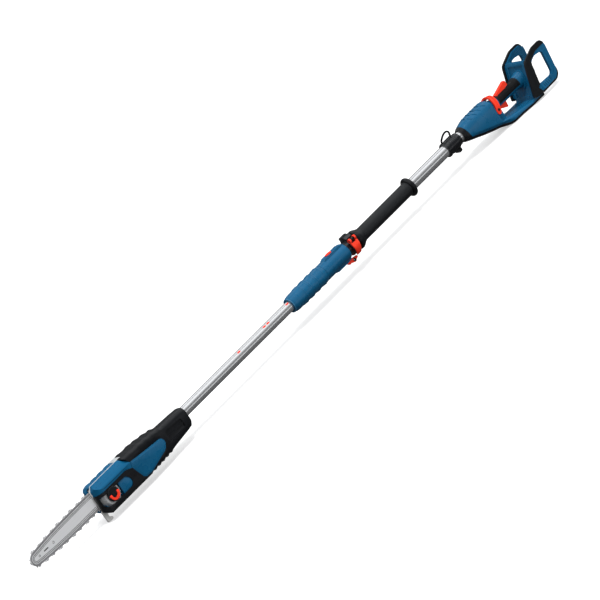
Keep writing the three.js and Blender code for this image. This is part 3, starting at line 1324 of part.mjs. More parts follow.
// The chain's closed rivet line as a lookup from distance travelled to point and outward normal.
function rivetLine() {
  const edge = barEdge(CHAIN_RIVET_LINE);
  const rear = [];
  const arcSteps = 16;
  const lean = 0.1;
  for (let k = 0; k <= arcSteps; k++) {
    const angle = -Math.PI / 2 - lean - ((Math.PI - 2 * lean) * k) / arcSteps;
    rear.push([DRIVE_X + PITCH_R * Math.cos(angle), PITCH_R * Math.sin(angle)]);
  }
  const loop = [...edge, ...rear].map(([u, z]) => new THREE.Vector2(hx(u), z));
  const lengths = [0];
  loop.forEach((p, i) => lengths.push(lengths[i] + p.distanceTo(loop[(i + 1) % loop.length])));
  const total = lengths[loop.length];
  const at = (s, offset) => {
    const wrapped = ((s % total) + total) % total;
    let i = 0;
    while (lengths[i + 1] < wrapped) i++;
    const t = (wrapped - lengths[i]) / (lengths[i + 1] - lengths[i]);
    const a = loop[i];
    const b = loop[(i + 1) % loop.length];
    const blend = (p, q, share) => p.clone().multiplyScalar(1 - share).addScaledVector(q, share);
    const before = loop[(i + loop.length - 1) % loop.length];
    const after = loop[(i + 2) % loop.length];
    const along = blend(b.clone().sub(before).normalize(), after.clone().sub(a).normalize(), t).normalize();
    const point = blend(a, b, t);
    return [point.x - along.y * offset, point.y + along.x * offset];
  };
  return { total, at };
}

// Saw chain: a band of tie straps riveted over drive links, whose tangs reach down into the bar's
// groove, with left and right cutters on every second link in turn.
function buildChain() {
  const { total, at } = rivetLine();
  const links = 2 * Math.round(total / CHAIN_PITCH / 2);
  const pitch = total / links;
  const strapHalf = pitch * 0.42;
  const strapTop = 2.9;
  const strapWaist = 1.3;
  const strapFoot = -2.5;
  const tangTop = -1.5;
  const tangTip = -7.2;
  const tangHalf = 0.55;
  const strapFace = tangHalf + STRAP_THICKNESS;
  const outer = [];
  const inner = [];
  for (let k = 0; k < links; k++) {
    const s = k * pitch;
    outer.push(at(s - strapHalf, strapTop), at(s + strapHalf, strapTop), at(s + pitch / 2, strapWaist));
    inner.push(at(s, strapFoot), at(s + pitch / 2, strapFoot));
  }
  let chain = plate(outer, -strapFace, strapFace, [inner]);
  for (let k = 0; k < links; k++) {
    const s = k * pitch;
    const tang = [at(s - 3.4, tangTop), at(s - 0.6, tangTip), at(s + 1.8, tangTip), at(s + 3.4, tangTop)];
    chain = chain.add(plate(tang, -tangHalf, tangHalf));
  }
  for (let k = 0; k < links; k += 2) {
    const s = k * pitch;
    const gauge = [at(s - 5.6, 2), at(s - 5, 6), at(s - 3.6, 6), at(s - 2.2, 2)];
    const top = [at(s - 0.4, 2), at(s + 0.4, 7.2), at(s + 6.4, 5.6), at(s + 7.2, 2)];
    const [y0, y1] = k % 4 === 0 ? [0.2, 2.9] : [-2.9, -0.2];
    chain = chain.add(plate(gauge, y0, y1)).add(plate(top, y0, y1));
  }
  piece('chain', chain, STEEL);
}

function buildSprocketCover() {
  const top = HEAD_TOP;
  const seam = 10.6; // lower edge of the blue band
  const inner = SPLIT_Y + LINER_THICKNESS;
  const front = -1.5;
  const rear = -124;
  const bandRear = -129;

  // upper band: sloped shoulder over a narrow flat side, rounded at the front
  const bandSection = [
    [inner, seam],
    [inner, top],
    [10, top + 0.2],
    [20, 28.5],
    [HEAD_HALF_WIDTH - 1, 20],
    [HEAD_HALF_WIDTH, 17.4],
    [HEAD_HALF_WIDTH, seam],
  ];
  const band = beam(bandSection, hx(bandRear), hx(front));
  const plan = column(headPoints([[front, inner - 1], [front, 10], [-8, 22], [-16, 28], [-28, 31],
    [bandRear, 31], [bandRear, inner - 1]]), -60, 60);
  const side = plate(headPoints([[front, 0], [front, 24], [-11, top + 1], [-112.6, top + 1], [-128.7, 17],
    [-124.6, 2]]), -10, 60);
  const slabSide = [[-9, seam], [-9, -34], [-12, -42], [rear + 1, -42], [rear + 1, seam]];
  const slab = plate(headPoints(slabSide), inner, 22);
  const stud = [hx(KNOB_X), KNOB_Z];
  const studHole = pin(0, 60, STUD_R + GAP, ...stud, 20);
  const ringRoom = turnedY([[9.6, 0], [9.6, 32.9], [22, 32.9], [22, 28.2], [26.3, 26], [26.3, 0]],
    ...stud, 28);
  const corner = plate(headPoints([[-102, seam + 1], [-103, seam], [-110, 8.8], [-118, 5.4], [-125.6, 2.2],
    [-127.8, seam + 1]]), inner, HEAD_HALF_WIDTH);
  const cover = band.add(corner).intersect(plan).intersect(side).add(slab)
    .subtract(pin(8, 60, 7 + GAP, ...stud, 24))
    .subtract(pin(20, 60, KNOB_R + 0.6, ...stud))
    .subtract(ringRoom)
    .subtract(studHole);
  piece('sprocket_cover', cover, BLUE);

  const linerOutline = [[1, 24], [-9, top + 0.4], [-115.4, top + 0.4], [rear + 0.6, 23.4],
    [rear + 0.6, HEAD_BOTTOM + 0.6],
    [-12, HEAD_BOTTOM + 0.6], [1, HEAD_BOTTOM + 12]];
  const linerPad = plate(headPoints(BAR_PAD), BAR_THICKNESS / 2, SPLIT_Y + 1);
  const liner = plate(headPoints(linerOutline), SPLIT_Y, SPLIT_Y + LINER_THICKNESS)
    .add(linerPad)
    .subtract(studHole);
  piece('cover_liner', liner, LIGHT_GREY);

  // lower black frame with the long six-sided window
  const frameOutline = [[1, seam - GAP], [1.5, -35], [-11, HEAD_BOTTOM], [-158, HEAD_BOTTOM], [-158, -42],
    [-148, -38], [-138, -28], [-126, 1.7], [-118, 5.1], [-110, 8.5], [-103, seam - GAP]];
  const window = rounded([[-0.8, 4], [-20, 1.4], [-95, 1], [-106, -13], [-105, -24], [-98, -31], [-14, -32],
    [-0.8, -19]], 4);
  const framePlan = column(headPoints([[2, inner], [2, 12], [-4, 24], [-12, 30], [-24, HEAD_HALF_WIDTH + 1],
    [-160, HEAD_HALF_WIDTH + 1], [-160, inner]]), -60, 60);
  const frameSection = beam([[inner, -60], [inner, 20], [HEAD_HALF_WIDTH + 1, 20], [HEAD_HALF_WIDTH + 1, -40],
    [HEAD_HALF_WIDTH - 3, HEAD_BOTTOM], [inner, HEAD_BOTTOM - 1]], hx(-160), hx(10));
  const slabRoom = plate(headPoints([[-4.7, seam + 1], [-4.7, -34.3], [-11.8, -42.3], [rear + 0.7, -42.3],
    [rear + 0.7, seam + 1]]), 0, 22);
  const shellRoom = plate(headPoints([...COVER_SEAM, [-190, -60], [-190, 17]]), 0, 60);
  const frame = plate(headPoints(frameOutline), inner, HEAD_HALF_WIDTH + 1)
    .intersect(framePlan)
    .intersect(frameSection)
    .subtract(slabRoom)
    .subtract(plate(headPoints(window), 16, 60))
    .subtract(ringRoom)
    .subtract(shellRoom)
    .subtract(pin(20, 60, KNOB_R + 0.6, ...stud, 28));
  piece('cover_frame', frame, BLACK);

  const insert = plate(headPoints(inflate(window, -GAP)), 26.4, 29)
    .intersect(box(hx(-FAR), hx(-67), 0, 60, -60, 60));
  const insertFoot = plate(headPoints([[-74, -3], [-91, -3], [-98, -12], [-98, -25], [-74, -25]]), 22, 27);
  piece('cover_insert', insert.add(insertFoot), BLUE);

  const ring = turnedY([
    [10.2, 7.4],
    [10.2, 31.4],
    [12, 31.4],
    [24, 25.4],
    [25.2, 24],
    [25.2, 7.4],
  ], ...stud, 28);
  const ribs = 20;
  let ribbed = ring;
  for (let k = 0; k < ribs; k++) {
    const rib = column([[24.2, 22.8], [26.2, 24.2], [32.2, 12.2], [30.8, 11.2]], -0.9, 0.9)
      .rotate([0, (360 * k) / ribs, 0])
      .translate([stud[0], 0, stud[1]]);
    ribbed = ribbed.add(rib);
  }
  piece('tension_ring', ribbed, GREY);

  // knob with a sunk half-ring seat for its fold-out wing
  const knobFace = 33.4;
  const seatFloor = 28.8;
  const wingAxisY = 32.2;
  const body = turnedY([
    [8.3, STUD_R + GAP],
    [8.3, 7],
    [26, 7],
    [26, KNOB_R],
    [knobFace - 1.2, KNOB_R],
    [knobFace, KNOB_R - 1.2],
    [knobFace, 0],
    [30.3, 0],
    [30.3, STUD_R + GAP],
  ], ...stud, 28);
  const seat = plate(halfRing(stud, 8.6, 16.3, 3.7), seatFloor, 40);
  let knob = body.subtract(seat);
  const notches = 8;
  for (let k = 0; k < notches; k++) {
    const angle = (2 * Math.PI * k) / notches;
    const [u, v] = [(KNOB_R + 0.7) * Math.cos(angle), (KNOB_R + 0.7) * Math.sin(angle)];
    knob = knob.subtract(pin(27, 40, 1.7, stud[0] + u, stud[1] + v, 6));
  }
  const wingPivot = rod(stud[0] - 17.4, stud[0] + 17.4, 1.2, wingAxisY, stud[1], 10);
  const wing = plate(halfRing(stud, 9, 15.6, 0), 29.4, 35)
    .add(rod(stud[0] - 15.6, stud[0] - 9, 2.8, wingAxisY, stud[1]))
    .add(rod(stud[0] + 9, stud[0] + 15.6, 2.8, wingAxisY, stud[1]));
  const pivotRoom = rod(stud[0] - 17.8, stud[0] + 17.8, 1.2 + GAP, wingAxisY, stud[1], 10);
  piece('knob', knob.subtract(pivotRoom.subtract(box(stud[0] - 8, stud[0] + 8, 20, 40, -40, 40))), BLACK);
  const ends = wingPivot.subtract(box(stud[0] - 9.5, stud[0] + 9.5, 20, 40, -40, 40));
  piece('knob_wing', wing.add(ends), ORANGE);
}

// Lower half of a ring, closed above its diameter by a strip of the given height.
function halfRing([cx, cz], inner, outer, above) {
  const steps = 12;
  const points = [];
  points.push([cx + outer, cz + above]);
  for (let k = 0; k <= steps; k++) {
    const angle = (-Math.PI * k) / steps;
    points.push([cx + outer * Math.cos(angle), cz + outer * Math.sin(angle)]);
  }
  points.push([cx - outer, cz + above], [cx - inner, cz + above]);
  for (let k = steps; k >= 0; k--) {
    const angle = (-Math.PI * k) / steps;
    points.push([cx + inner * Math.cos(angle), cz + inner * Math.sin(angle)]);
  }
  points.push([cx + inner, cz + above]);
  const apart = (p, q) => Math.hypot(p[0] - q[0], p[1] - q[1]) > 1e-6;
  return points.filter((p, i) => i === 0 || apart(p, points[i - 1]));
}

function buildHook() {
  const leg = HOOK_LEG_WIDTH;
  const f = HOOK_FRONT;
  const outline = rounded([
    [f + 1, -33],
    [f + 0.5, -63],
    [f - 1, -AXIS_HEIGHT],
    [f - 15, -AXIS_HEIGHT],
    [f - 19, -64.5],
    [f - 19, -59],
    [f - 14, -57.6],
    [f - leg + 0.5, -56],
    [f - leg, -50],
    [f - leg, -33],
  ], 1.6, 1);
  piece('hook', plate(headPoints(outline), ...halfSpan(HOOK_THICKNESS)), LIGHT_GREY);
}

// ---------------------------------------------------------------- build

buildTubes();
buildFoamGrip();
buildSleeve();
buildClamp();
buildStrapCollar();
buildRearUnit();
buildMotorHousing();
buildGearCase();
buildDrive();
buildBar();
buildChain();
buildSprocketCover();
buildHook();

export default root;
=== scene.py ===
"""Telescoping pole saw: looks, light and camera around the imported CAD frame. Metres, CAD frame."""
import json
import math

import bmesh
import bpy
from mathutils import Matrix, Vector
from mathutils.bvhtree import BVHTree


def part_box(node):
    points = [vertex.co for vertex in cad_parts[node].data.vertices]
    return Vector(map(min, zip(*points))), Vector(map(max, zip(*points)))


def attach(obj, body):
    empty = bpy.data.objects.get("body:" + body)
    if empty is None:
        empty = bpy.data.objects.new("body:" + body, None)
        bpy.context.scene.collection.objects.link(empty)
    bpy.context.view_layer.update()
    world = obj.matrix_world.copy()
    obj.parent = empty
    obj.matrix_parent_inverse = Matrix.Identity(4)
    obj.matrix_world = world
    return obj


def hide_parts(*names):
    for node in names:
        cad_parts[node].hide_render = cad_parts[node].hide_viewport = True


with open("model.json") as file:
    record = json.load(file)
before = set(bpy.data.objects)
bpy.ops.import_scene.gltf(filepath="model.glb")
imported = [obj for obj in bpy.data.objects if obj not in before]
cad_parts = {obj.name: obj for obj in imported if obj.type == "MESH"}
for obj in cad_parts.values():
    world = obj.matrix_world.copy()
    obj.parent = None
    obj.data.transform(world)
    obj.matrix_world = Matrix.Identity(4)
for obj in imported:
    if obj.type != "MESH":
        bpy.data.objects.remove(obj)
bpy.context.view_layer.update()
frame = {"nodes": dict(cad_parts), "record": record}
NODES = frame["nodes"]
MM = 0.001
SLOT_OF = {row["node"]: row["material_slot"] for row in frame["record"]["subparts"]}
BODY_OF = {node: body for body, members in frame["record"]["behaviour"]["bodies"].items() for node in members}
LEFT, RIGHT = 1, -1
SIDES = (LEFT, RIGHT)
scene = bpy.context.scene


# ---------------------------------------------------------------- materials

MOST = (0.3, 0.7)  # most values of a noise lie between these


class Graph:
    """A material's node tree, with short calls for the nodes used here."""

    def __init__(self, name):
        self.material = bpy.data.materials.new(name)
        self.material.use_nodes = True
        self.tree = self.material.node_tree
        self.shader = self.tree.nodes["Principled BSDF"]
        self.place = self.tree.nodes.new("ShaderNodeTexCoord").outputs["Object"]

    def put(self, source, target):
        """A value or another node's output goes into a socket."""
        if isinstance(source, bpy.types.NodeSocket):
            self.tree.links.new(source, target)
        else:
            target.default_value = source

    def stretch(self, scale):
        """The place on the object, scaled along each axis."""
        node = self.tree.nodes.new("ShaderNodeMapping")
        node.inputs["Scale"].default_value = scale
        self.put(self.place, node.inputs["Vector"])
        return node.outputs["Vector"]

    def noise(self, scale, detail=2.0, roughness=0.5, vector=None):
        node = self.tree.nodes.new("ShaderNodeTexNoise")
        self.put(vector or self.place, node.inputs["Vector"])
        node.inputs["Scale"].default_value = scale
        node.inputs["Detail"].default_value = detail
        node.inputs["Roughness"].default_value = roughness
        return node.outputs["Fac"]

    def cells(self, scale):
        """The distance to the nearest of many scattered points."""
        node = self.tree.nodes.new("ShaderNodeTexVoronoi")
        self.put(self.place, node.inputs["Vector"])
        node.inputs["Scale"].default_value = scale
        return node.outputs["Distance"]

    def ramp(self, value, low, high, out_low=0.0, out_high=1.0):
        """The range from low to high spread over the range from out_low to out_high, and held there."""
        node = self.tree.nodes.new("ShaderNodeMapRange")
        for socket, source in zip(node.inputs, (value, low, high, out_low, out_high)):
            self.put(source, socket)
        return node.outputs["Result"]

    def math(self, operation, a, b):
        node = self.tree.nodes.new("ShaderNodeMath")
        node.operation = operation
        self.put(a, node.inputs[0])
        self.put(b, node.inputs[1])
        return node.outputs["Value"]

    def mix(self, factor, a, b):
        """A colour between a and b; each is a colour or another node's output."""
        node = self.tree.nodes.new("ShaderNodeMix")
        node.data_type = "RGBA"
        self.put(factor, node.inputs[0])
        for socket, colour in ((node.inputs[6], a), (node.inputs[7], b)):
            self.put((*colour, 1.0) if isinstance(colour, tuple) else colour, socket)
        return node.outputs[2]

    def bump(self, height, depth, strength=1.0, under=None):
        node = self.tree.nodes.new("ShaderNodeBump")
        node.inputs["Strength"].default_value = strength
        node.inputs["Distance"].default_value = depth
        self.put(height, node.inputs["Height"])
        if under is not None:
            self.put(under, node.inputs["Normal"])
        return node.outputs["Normal"]

    def edges(self, radius):
        """1 on edges, 0 on flat ground, told by how far a rounded normal leans from the true one."""
        flat, worn = 0.99, 0.86
        bevel = self.tree.nodes.new("ShaderNodeBevel")
        bevel.samples = 4
        bevel.inputs["Radius"].default_value = radius
        geometry = self.tree.nodes.new("ShaderNodeNewGeometry")
        dot = self.tree.nodes.new("ShaderNodeVectorMath")
        dot.operation = "DOT_PRODUCT"
        self.put(bevel.outputs["Normal"], dot.inputs[0])
        self.put(geometry.outputs["Normal"], dot.inputs[1])
        return self.ramp(dot.outputs["Value"], flat, worn)

    def finish(self, colour, roughness, normal=None, **fixed):
        """Fills the shader's sockets; a fixed value's name has underscores for the socket's spaces."""
        sockets = self.shader.inputs
        self.put(colour, sockets["Base Color"])
        self.put(roughness, sockets["Roughness"])
        if normal is not None:
            self.put(normal, sockets["Normal"])
        for name, value in fixed.items():
            sockets[name.replace("_", " ")].default_value = value
        return self.material


def scaled(colour, factor):
    """A lighter or darker tone of a colour."""
    return tuple(min(1.0, c * factor) for c in colour)


def moulded(name, colour, rough, grain=0.00004, wear=0.5, scuff=0.5, **fixed):
    """Moulded plastic: fine grain, slow tone drift, rub marks, and edges polished lighter by handling."""
    spread = 0.06
    pale = tuple(c + 0.016 for c in scaled(colour, 0.85))
    g = Graph(name)
    drift = g.noise(scale=18.0, detail=3.0)
    tone = g.mix(g.ramp(drift, *MOST), scaled(colour, 0.93), scaled(colour, 1.06))
    rubs = g.noise(scale=60.0, detail=5.0, roughness=0.7, vector=g.stretch((0.35, 1.0, 1.6)))
    rubbed = g.ramp(rubs, 0.58, 0.74, out_high=0.35 * scuff)
    edges = g.edges(radius=0.0012)
    patches = g.ramp(g.noise(scale=140.0, detail=4.0), 0.4, 0.62, 0.25 * wear, wear)
    worn = g.math("MULTIPLY", edges, patches)
    tone = g.mix(g.math("MAXIMUM", g.math("MULTIPLY", rubbed, 0.5), worn), tone, pale)
    spark = g.noise(scale=1500.0)
    shine = g.ramp(g.noise(scale=35.0, detail=4.0), *MOST, rough - spread, rough + spread)
    shine = g.math("ADD", shine, g.math("MULTIPLY", rubbed, 0.3))
    return g.finish(tone, shine, g.bump(spark, grain), **fixed)


def drawn_metal(name, colour, rough, lines_by_axis, streak=0.06, marks=0.5, Metallic=1.0, **fixed):
    """Metal with fine lines along one axis, faint stains and light handling scratches."""
    g = Graph(name)
    lines = g.noise(scale=1.0, detail=3.0, roughness=0.6, vector=g.stretch(lines_by_axis))
    stains = g.noise(scale=22.0, detail=4.0)
    tone = g.mix(g.ramp(lines, *MOST), scaled(colour, 1 - streak), scaled(colour, 1 + streak))
    tone = g.mix(g.ramp(stains, 0.5, 0.75, out_high=0.3 * marks), tone, scaled(colour, 0.72))
    shine = g.ramp(lines, 0.25, 0.75, rough - 0.05, rough + 0.07)
    shine = g.math("ADD", shine, g.ramp(stains, 0.45, 0.75, out_high=0.12 * marks))
    return g.finish(tone, shine, g.bump(lines, depth=0.00002), Metallic=Metallic, **fixed)


def foam_rubber(name, colour):
    """Open pores in a skin with soft lumps, greyed in patches."""
    g = Graph(name)
    pores = g.cells(900.0)
    patches = g.noise(scale=40.0, detail=4.0)
    tone = g.mix(g.ramp(pores, 0.1, 0.6), scaled(colour, 0.72), scaled(colour, 1.2))
    tone = g.mix(g.ramp(patches, 0.45, 0.7, out_high=0.5), tone, scaled(colour, 1.45))
    skin = g.bump(g.noise(scale=220.0, detail=3.0), depth=0.0002, strength=0.7)
    shine = g.ramp(patches, *MOST, 0.46, 0.62)
    return g.finish(tone, shine, g.bump(pores, depth=0.00015, strength=0.7, under=skin))


def overmoulded(name, colour):
    """Soft rubber skin with a fine leather grain and a little dust."""
    g = Graph(name)
    drift = g.noise(scale=30.0, detail=3.0)
    tone = g.mix(g.ramp(drift, 0.35, 0.7), scaled(colour, 0.85), scaled(colour, 1.25))
    dust = g.ramp(g.noise(scale=90.0, detail=5.0, roughness=0.65), 0.55, 0.72, out_high=0.35)
    tone = g.mix(dust, tone, DUST)
    shine = g.ramp(g.noise(scale=50.0, detail=3.0), *MOST, 0.55, 0.7)
    leather = g.bump(g.cells(1100.0), depth=0.00012, strength=0.8)
    return g.finish(tone, shine, leather, Specular_IOR_Level=0.35)


def cloudy_tank(name, colour):
    """Milky plastic that light passes into."""
    glow = 0.006
    g = Graph(name)
    drift = g.noise(scale=25.0, detail=3.0)
    tone = g.mix(g.ramp(drift, 0.35, 0.65), scaled(colour, 0.9), scaled(colour, 1.05))
    shine = g.ramp(g.noise(scale=60.0), *MOST, 0.28, 0.4)
    skin = g.bump(g.noise(scale=900.0), depth=0.00003)
    return g.finish(tone, shine, skin, Transmission_Weight=0.25, Subsurface_Weight=0.4,
                    Subsurface_Radius=(glow, glow, glow))


def polished(name, colour, rough, **looks):
    """Moulded plastic with a very fine grain."""
    return moulded(name, colour, rough, grain=0.00002, **looks)


# Colours in linear light
BLUE = (0.0032, 0.094, 0.205)
BLACK = (0.0042, 0.0050, 0.0066)
ORANGE = (0.95, 0.046, 0.018)
DUST = (0.016, 0.016, 0.017)

# How many lines a metal shows along X, Y and Z, in a metre
DRAWN = (6.0, 700.0, 700.0)
BRUSHED = (18.0, 700.0, 700.0)
STAMPED = (260.0, 260.0, 260.0)
TURNED = (300.0, 300.0, 300.0)
CAST = (400.0, 400.0, 400.0)
WOUND = (500.0, 500.0, 500.0)

MATERIALS = {
    "blue_shell": moulded("blue_shell", BLUE, 0.28, wear=0.28, scuff=0.12, Specular_IOR_Level=0.36),
    "black_shell": moulded("black_shell", BLACK, 0.38, grain=0.00006, wear=0.35, Specular_IOR_Level=0.42),
    "strap_loop": polished("strap_loop", scaled(BLACK, 0.6), 0.5, wear=0.2, Specular_IOR_Level=0.22),
    "soft_grip": overmoulded("soft_grip", (0.0034, 0.0037, 0.0044)),
    "foam": foam_rubber("foam", (0.0075, 0.0085, 0.0100)),
    "lead": moulded("lead", (0.012, 0.012, 0.012), 0.5),
    "orange": moulded("orange", ORANGE, 0.36, wear=0.15, scuff=0.2, Specular_IOR_Level=0.2),
    "tube": drawn_metal("tube", (0.80, 0.805, 0.82), 0.13, DRAWN, 0.04, 0.4, Metallic=0.82),
    "bare_steel": drawn_metal("bare_steel", (0.55, 0.55, 0.54), 0.32, TURNED),
    "chain_steel": drawn_metal("chain_steel", (0.31, 0.31, 0.32), 0.36, STAMPED, 0.12, 0.9, Metallic=0.4),
    "bar_steel": drawn_metal("bar_steel", (0.72, 0.725, 0.74), 0.42, BRUSHED, 0.04, 0.6, Metallic=0.2),
    "die_cast": drawn_metal("die_cast", (0.50, 0.51, 0.52), 0.5, CAST, 0.08, 0.6, Metallic=0.3),
    "grey_ring": moulded("grey_ring", (0.46, 0.47, 0.48), 0.38),
    "light_grey": moulded("light_grey", (0.70, 0.70, 0.68), 0.5),
    "tank": cloudy_tank("tank", (0.60, 0.63, 0.64)),
    "windings": drawn_metal("windings", (0.55, 0.24, 0.09), 0.35, WOUND, 0.15),
}
CUTTER_STEEL = drawn_metal("cutter_steel", (0.62, 0.62, 0.63), 0.34, STAMPED, 0.1, 0.6, Metallic=0.4)
BLACK_OXIDE = drawn_metal("black_oxide", (0.020, 0.020, 0.022), 0.42, TURNED, 0.1, 0.4, Metallic=0.6)
# Dark steel that is painted shade: narrow gaps and grooves along the bar's rails, the walls of its holes and
# its recess.
PAINTED_SHADE_STEEL = drawn_metal("painted_shade_steel", (0.030, 0.030, 0.032), 0.5, BRUSHED, 0.1, 0.4, Metallic=0.4)
# Dark blue for small relief that is painted shade: shaded dimples on the guards, shaded grooves and creases,
# dark rib lines.
PAINTED_SHADE_BLUE = moulded("painted_shade_blue", scaled(BLUE, 0.22), 0.5, wear=0.2, Specular_IOR_Level=0.3)
PRINTED_ORANGE = moulded("printed_orange", ORANGE, 0.5, wear=0.0, scuff=0.8, Specular_IOR_Level=0.3)
GLOSS_BLACK = polished("gloss_black", BLACK, 0.24, wear=0.3, scuff=0.2, Specular_IOR_Level=0.85)
QUIET_BLUE = moulded("quiet_blue", BLUE, 0.36, wear=0.3, scuff=0.2, Specular_IOR_Level=0.18)
# A paler blue that is a painted highlight: the light caught by the sleeve's rolled lip.
PAINTED_HIGHLIGHT_BLUE = moulded("painted_highlight_blue", (0.035, 0.165, 0.30), 0.24, wear=0.2, scuff=0.0)
OWN_FINISH = {
    "strap_collar": GLOSS_BLACK,
    "clamp_collar": GLOSS_BLACK,
    "sprocket_cover": QUIET_BLUE,
    "bail_screw_left": BLACK_OXIDE,
    "bail_screw_right": BLACK_OXIDE,
    "clamp_bolt": BLACK_OXIDE,
    "clamp_pin": BLACK_OXIDE,
    "collar_screw": BLACK_OXIDE,
}


# ---------------------------------------------------------------- building pieces, in mm


def mm_box(node):
    """The two far corners of a CAD node's box."""
    low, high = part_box(node)
    return Vector(low) / MM, Vector(high) / MM


def surface_tree(node):
    """A CAD node's surface, made ready to be met by lines."""
    mesh = NODES[node].data
    return BVHTree.FromPolygons([v.co for v in mesh.vertices], [tuple(p.vertices) for p in mesh.polygons])


AXIS = sum(corner.z for corner in mm_box("front_tube")) / 2  # height of the pole's centre line, along X
HEAD_FRONT = mm_box("cover_liner")[1].x
GUARD_INSIDE, GUARD_OUTSIDE = (corner.y for corner in mm_box("guard_left"))
SLEEVE_FRONT = mm_box("sleeve_grip")[1].x
BAR_FACE = mm_box("guide_bar")[1].y
TREES = {node: surface_tree(node) for node in NODES}
CREASE = math.radians(32)  # sharper edges are rounded
SAME_PLANE = math.radians(0.6)
WELD = 2e-6  # metres; closer corners are one corner


def add_object(name, mesh, body, slot, hides=(), material=None):
    """Puts a mesh in the scene as a piece that rides on a body and may stand for CAD nodes."""
    piece = bpy.data.objects.new(name, mesh)
    scene.collection.objects.link(piece)
    mesh.materials.clear()
    mesh.materials.append(material or MATERIALS[slot])
    if hides:
        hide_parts(*hides)
    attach(piece, body)
    return piece


def soften(piece, width):
    """Rounds a piece's corners as a mould or a deburring wheel does."""
    piece.data.shade_smooth()
    piece.data.set_sharp_from_angle(angle=CREASE)
    bevel = piece.modifiers.new("rounded edges", "BEVEL")
    bevel.width = width * MM
    bevel.segments = 2
    bevel.limit_method = "WEIGHT" if "bevel_weight_edge" in piece.data.attributes else "ANGLE"
    bevel.angle_limit = CREASE
    bevel.use_clamp_overlap = True
    bevel.harden_normals = True


def cut(bm, place, normal):
    """New edges where a plane crosses a shape, so that the shape can bend there."""
    bmesh.ops.bisect_plane(bm, geom=bm.verts[:] + bm.edges[:] + bm.faces[:], dist=1e-6,
                           plane_co=Vector(place) * MM, plane_no=normal)


def share(value, start, end):
    """How far a value has come from a start to an end, held between 0 and 1."""
    return min(1.0, max(0.0, (value - start) / (end - start)))


def slope_lower_strut(bm, side):
    """The guard's lower strut falls back towards its window, so its face turns a little upwards."""
    back, front, run_out, sunk = -107.0, -66.0, 4.0, 5.3
    upper_edge = (28.0, 33.5)
    near = 0.5
    for x in (front, front - run_out, back + run_out, back):
        cut(bm, (x, 0, 0), (1, 0, 0))
    for vert in bm.verts:
        x, y, z = vert.co / MM
        on_strut = back + run_out - near < x < front - run_out + near and upper_edge[0] < z < upper_edge[1]
        if on_strut and side * y > GUARD_OUTSIDE - near:
            vert.co.y = side * (GUARD_OUTSIDE - sunk) * MM


def tuck_nose(bm):
    """A crease along the foot of the nose: below it the side turns in under the shell."""
    back, full_from, full_to, front = 38.0, 58.0, 146.0, 163.0
    crease, full_below = 15.0, 8.0  # heights over the foot line
    inner, outer = 8.0, 14.0
    slope, tuck = 0.355, 4.6
    foot = Vector((60.0, 0.0, AXIS - 61.8))
    for x in (back, full_from, full_to, front):
        cut(bm, (x, 0, 0), (1, 0, 0))
    for rise in (crease, full_below):
        cut(bm, foot + Vector((0, 0, rise)), (-slope, 0, 1))
    for vert in bm.verts:
        x, y, z = vert.co / MM
        below = share(z - foot.z - slope * (x - foot.x), crease, full_below)
        along = min(share(x, back, full_from), share(x, front, full_to))
        outward = share(abs(y), inner, outer)
        vert.co.y -= math.copysign(tuck * MM * below * along * outward, y)


def raise_field(bm, side, border, lift):
    """The middle of a side panel's face stands a little proud of a border that runs round it."""
    facing, least_area = 0.97, 40 * MM * MM
    faces = [f for f in bm.faces if f.normal.y * side > facing and f.calc_area() > least_area]
    bmesh.ops.inset_region(bm, faces=faces, thickness=border * MM, depth=0.0, use_even_offset=True)
    bmesh.ops.inset_region(bm, faces=faces, thickness=lift * MM, depth=lift * MM, use_even_offset=True)


def thicken_loop(bm):
    """The strap loop is a round cord of hard rubber, thicker than its CAD wire."""
    foot, growth = AXIS + 20, 0.7
    bm.normal_update()
    for vert in bm.verts:
        if vert.co.z > foot * MM:
            vert.co += vert.normal * growth * MM


def weigh_outer_edges(bm, low, high):
    """On a slotted case only the edges of the outline are rounded, not those of slots and pockets."""
    rim_back, rim_foot, rim_front, rim_top = 10, 9, 16, 15
    low, high = low + Vector((rim_back, 0, rim_foot)), high - Vector((rim_front, 0, rim_top))
    weight = bm.edges.layers.float.new("bevel_weight_edge")
    for edge in bm.edges:
        middle = (edge.verts[0].co + edge.verts[1].co) / 2 / MM
        inside = low.x < middle.x < high.x and low.z < middle.z < high.z
        if not inside and edge.calc_face_angle(0.0) > CREASE:
            edge[weight] = 1.0


RESHAPED = {
    "strap_eyelet": thicken_loop,
    "rear_housing_left": tuck_nose,
    "rear_housing_right": tuck_nose,
    "bottom_skid": tuck_nose,
    "guard_left": lambda bm: slope_lower_strut(bm, LEFT),
    "guard_right": lambda bm: slope_lower_strut(bm, RIGHT),
    "side_panel_left": lambda bm: raise_field(bm, LEFT, border=2.6, lift=0.9),
    "side_panel_right": lambda bm: raise_field(bm, RIGHT, border=2.6, lift=0.9),
    "cover_insert": lambda bm: raise_field(bm, LEFT, border=1.6, lift=0.6),
}
SLOTTED = ("far_cover",)  # its triangles stay, because its large faces have holes
ROUNDING = {"side_panel_left": 0.8, "side_panel_right": 0.8, "cover_frame": 0.9, "sprocket_cover": 0.9}
USUAL_ROUNDING = 0.5


def refined(node):
    """The CAD node's own shape with clean faces and rounded edges."""
    mesh = bpy.data.meshes.new(node + "_finished")
    bm = bmesh.new()
    bm.from_mesh(NODES[node].data)
    bmesh.ops.remove_doubles(bm, verts=bm.verts, dist=WELD)
    if node in SLOTTED:
        weigh_outer_edges(bm, *mm_box(node))
    else:
        bmesh.ops.dissolve_limit(bm, angle_limit=SAME_PLANE, verts=bm.verts, edges=bm.edges)
    if node in RESHAPED:
        RESHAPED[node](bm)
    bm.to_mesh(mesh)
    bm.free()
    piece = add_object(node + "_finished", mesh, BODY_OF[node], SLOT_OF[node], (node,), OWN_FINISH.get(node))
    soften(piece, ROUNDING.get(node, USUAL_ROUNDING))
    return piece


def gap(node, place):
    """How far a place is from a node's surface."""
    return TREES[node].find_nearest(place * MM)[3] / MM


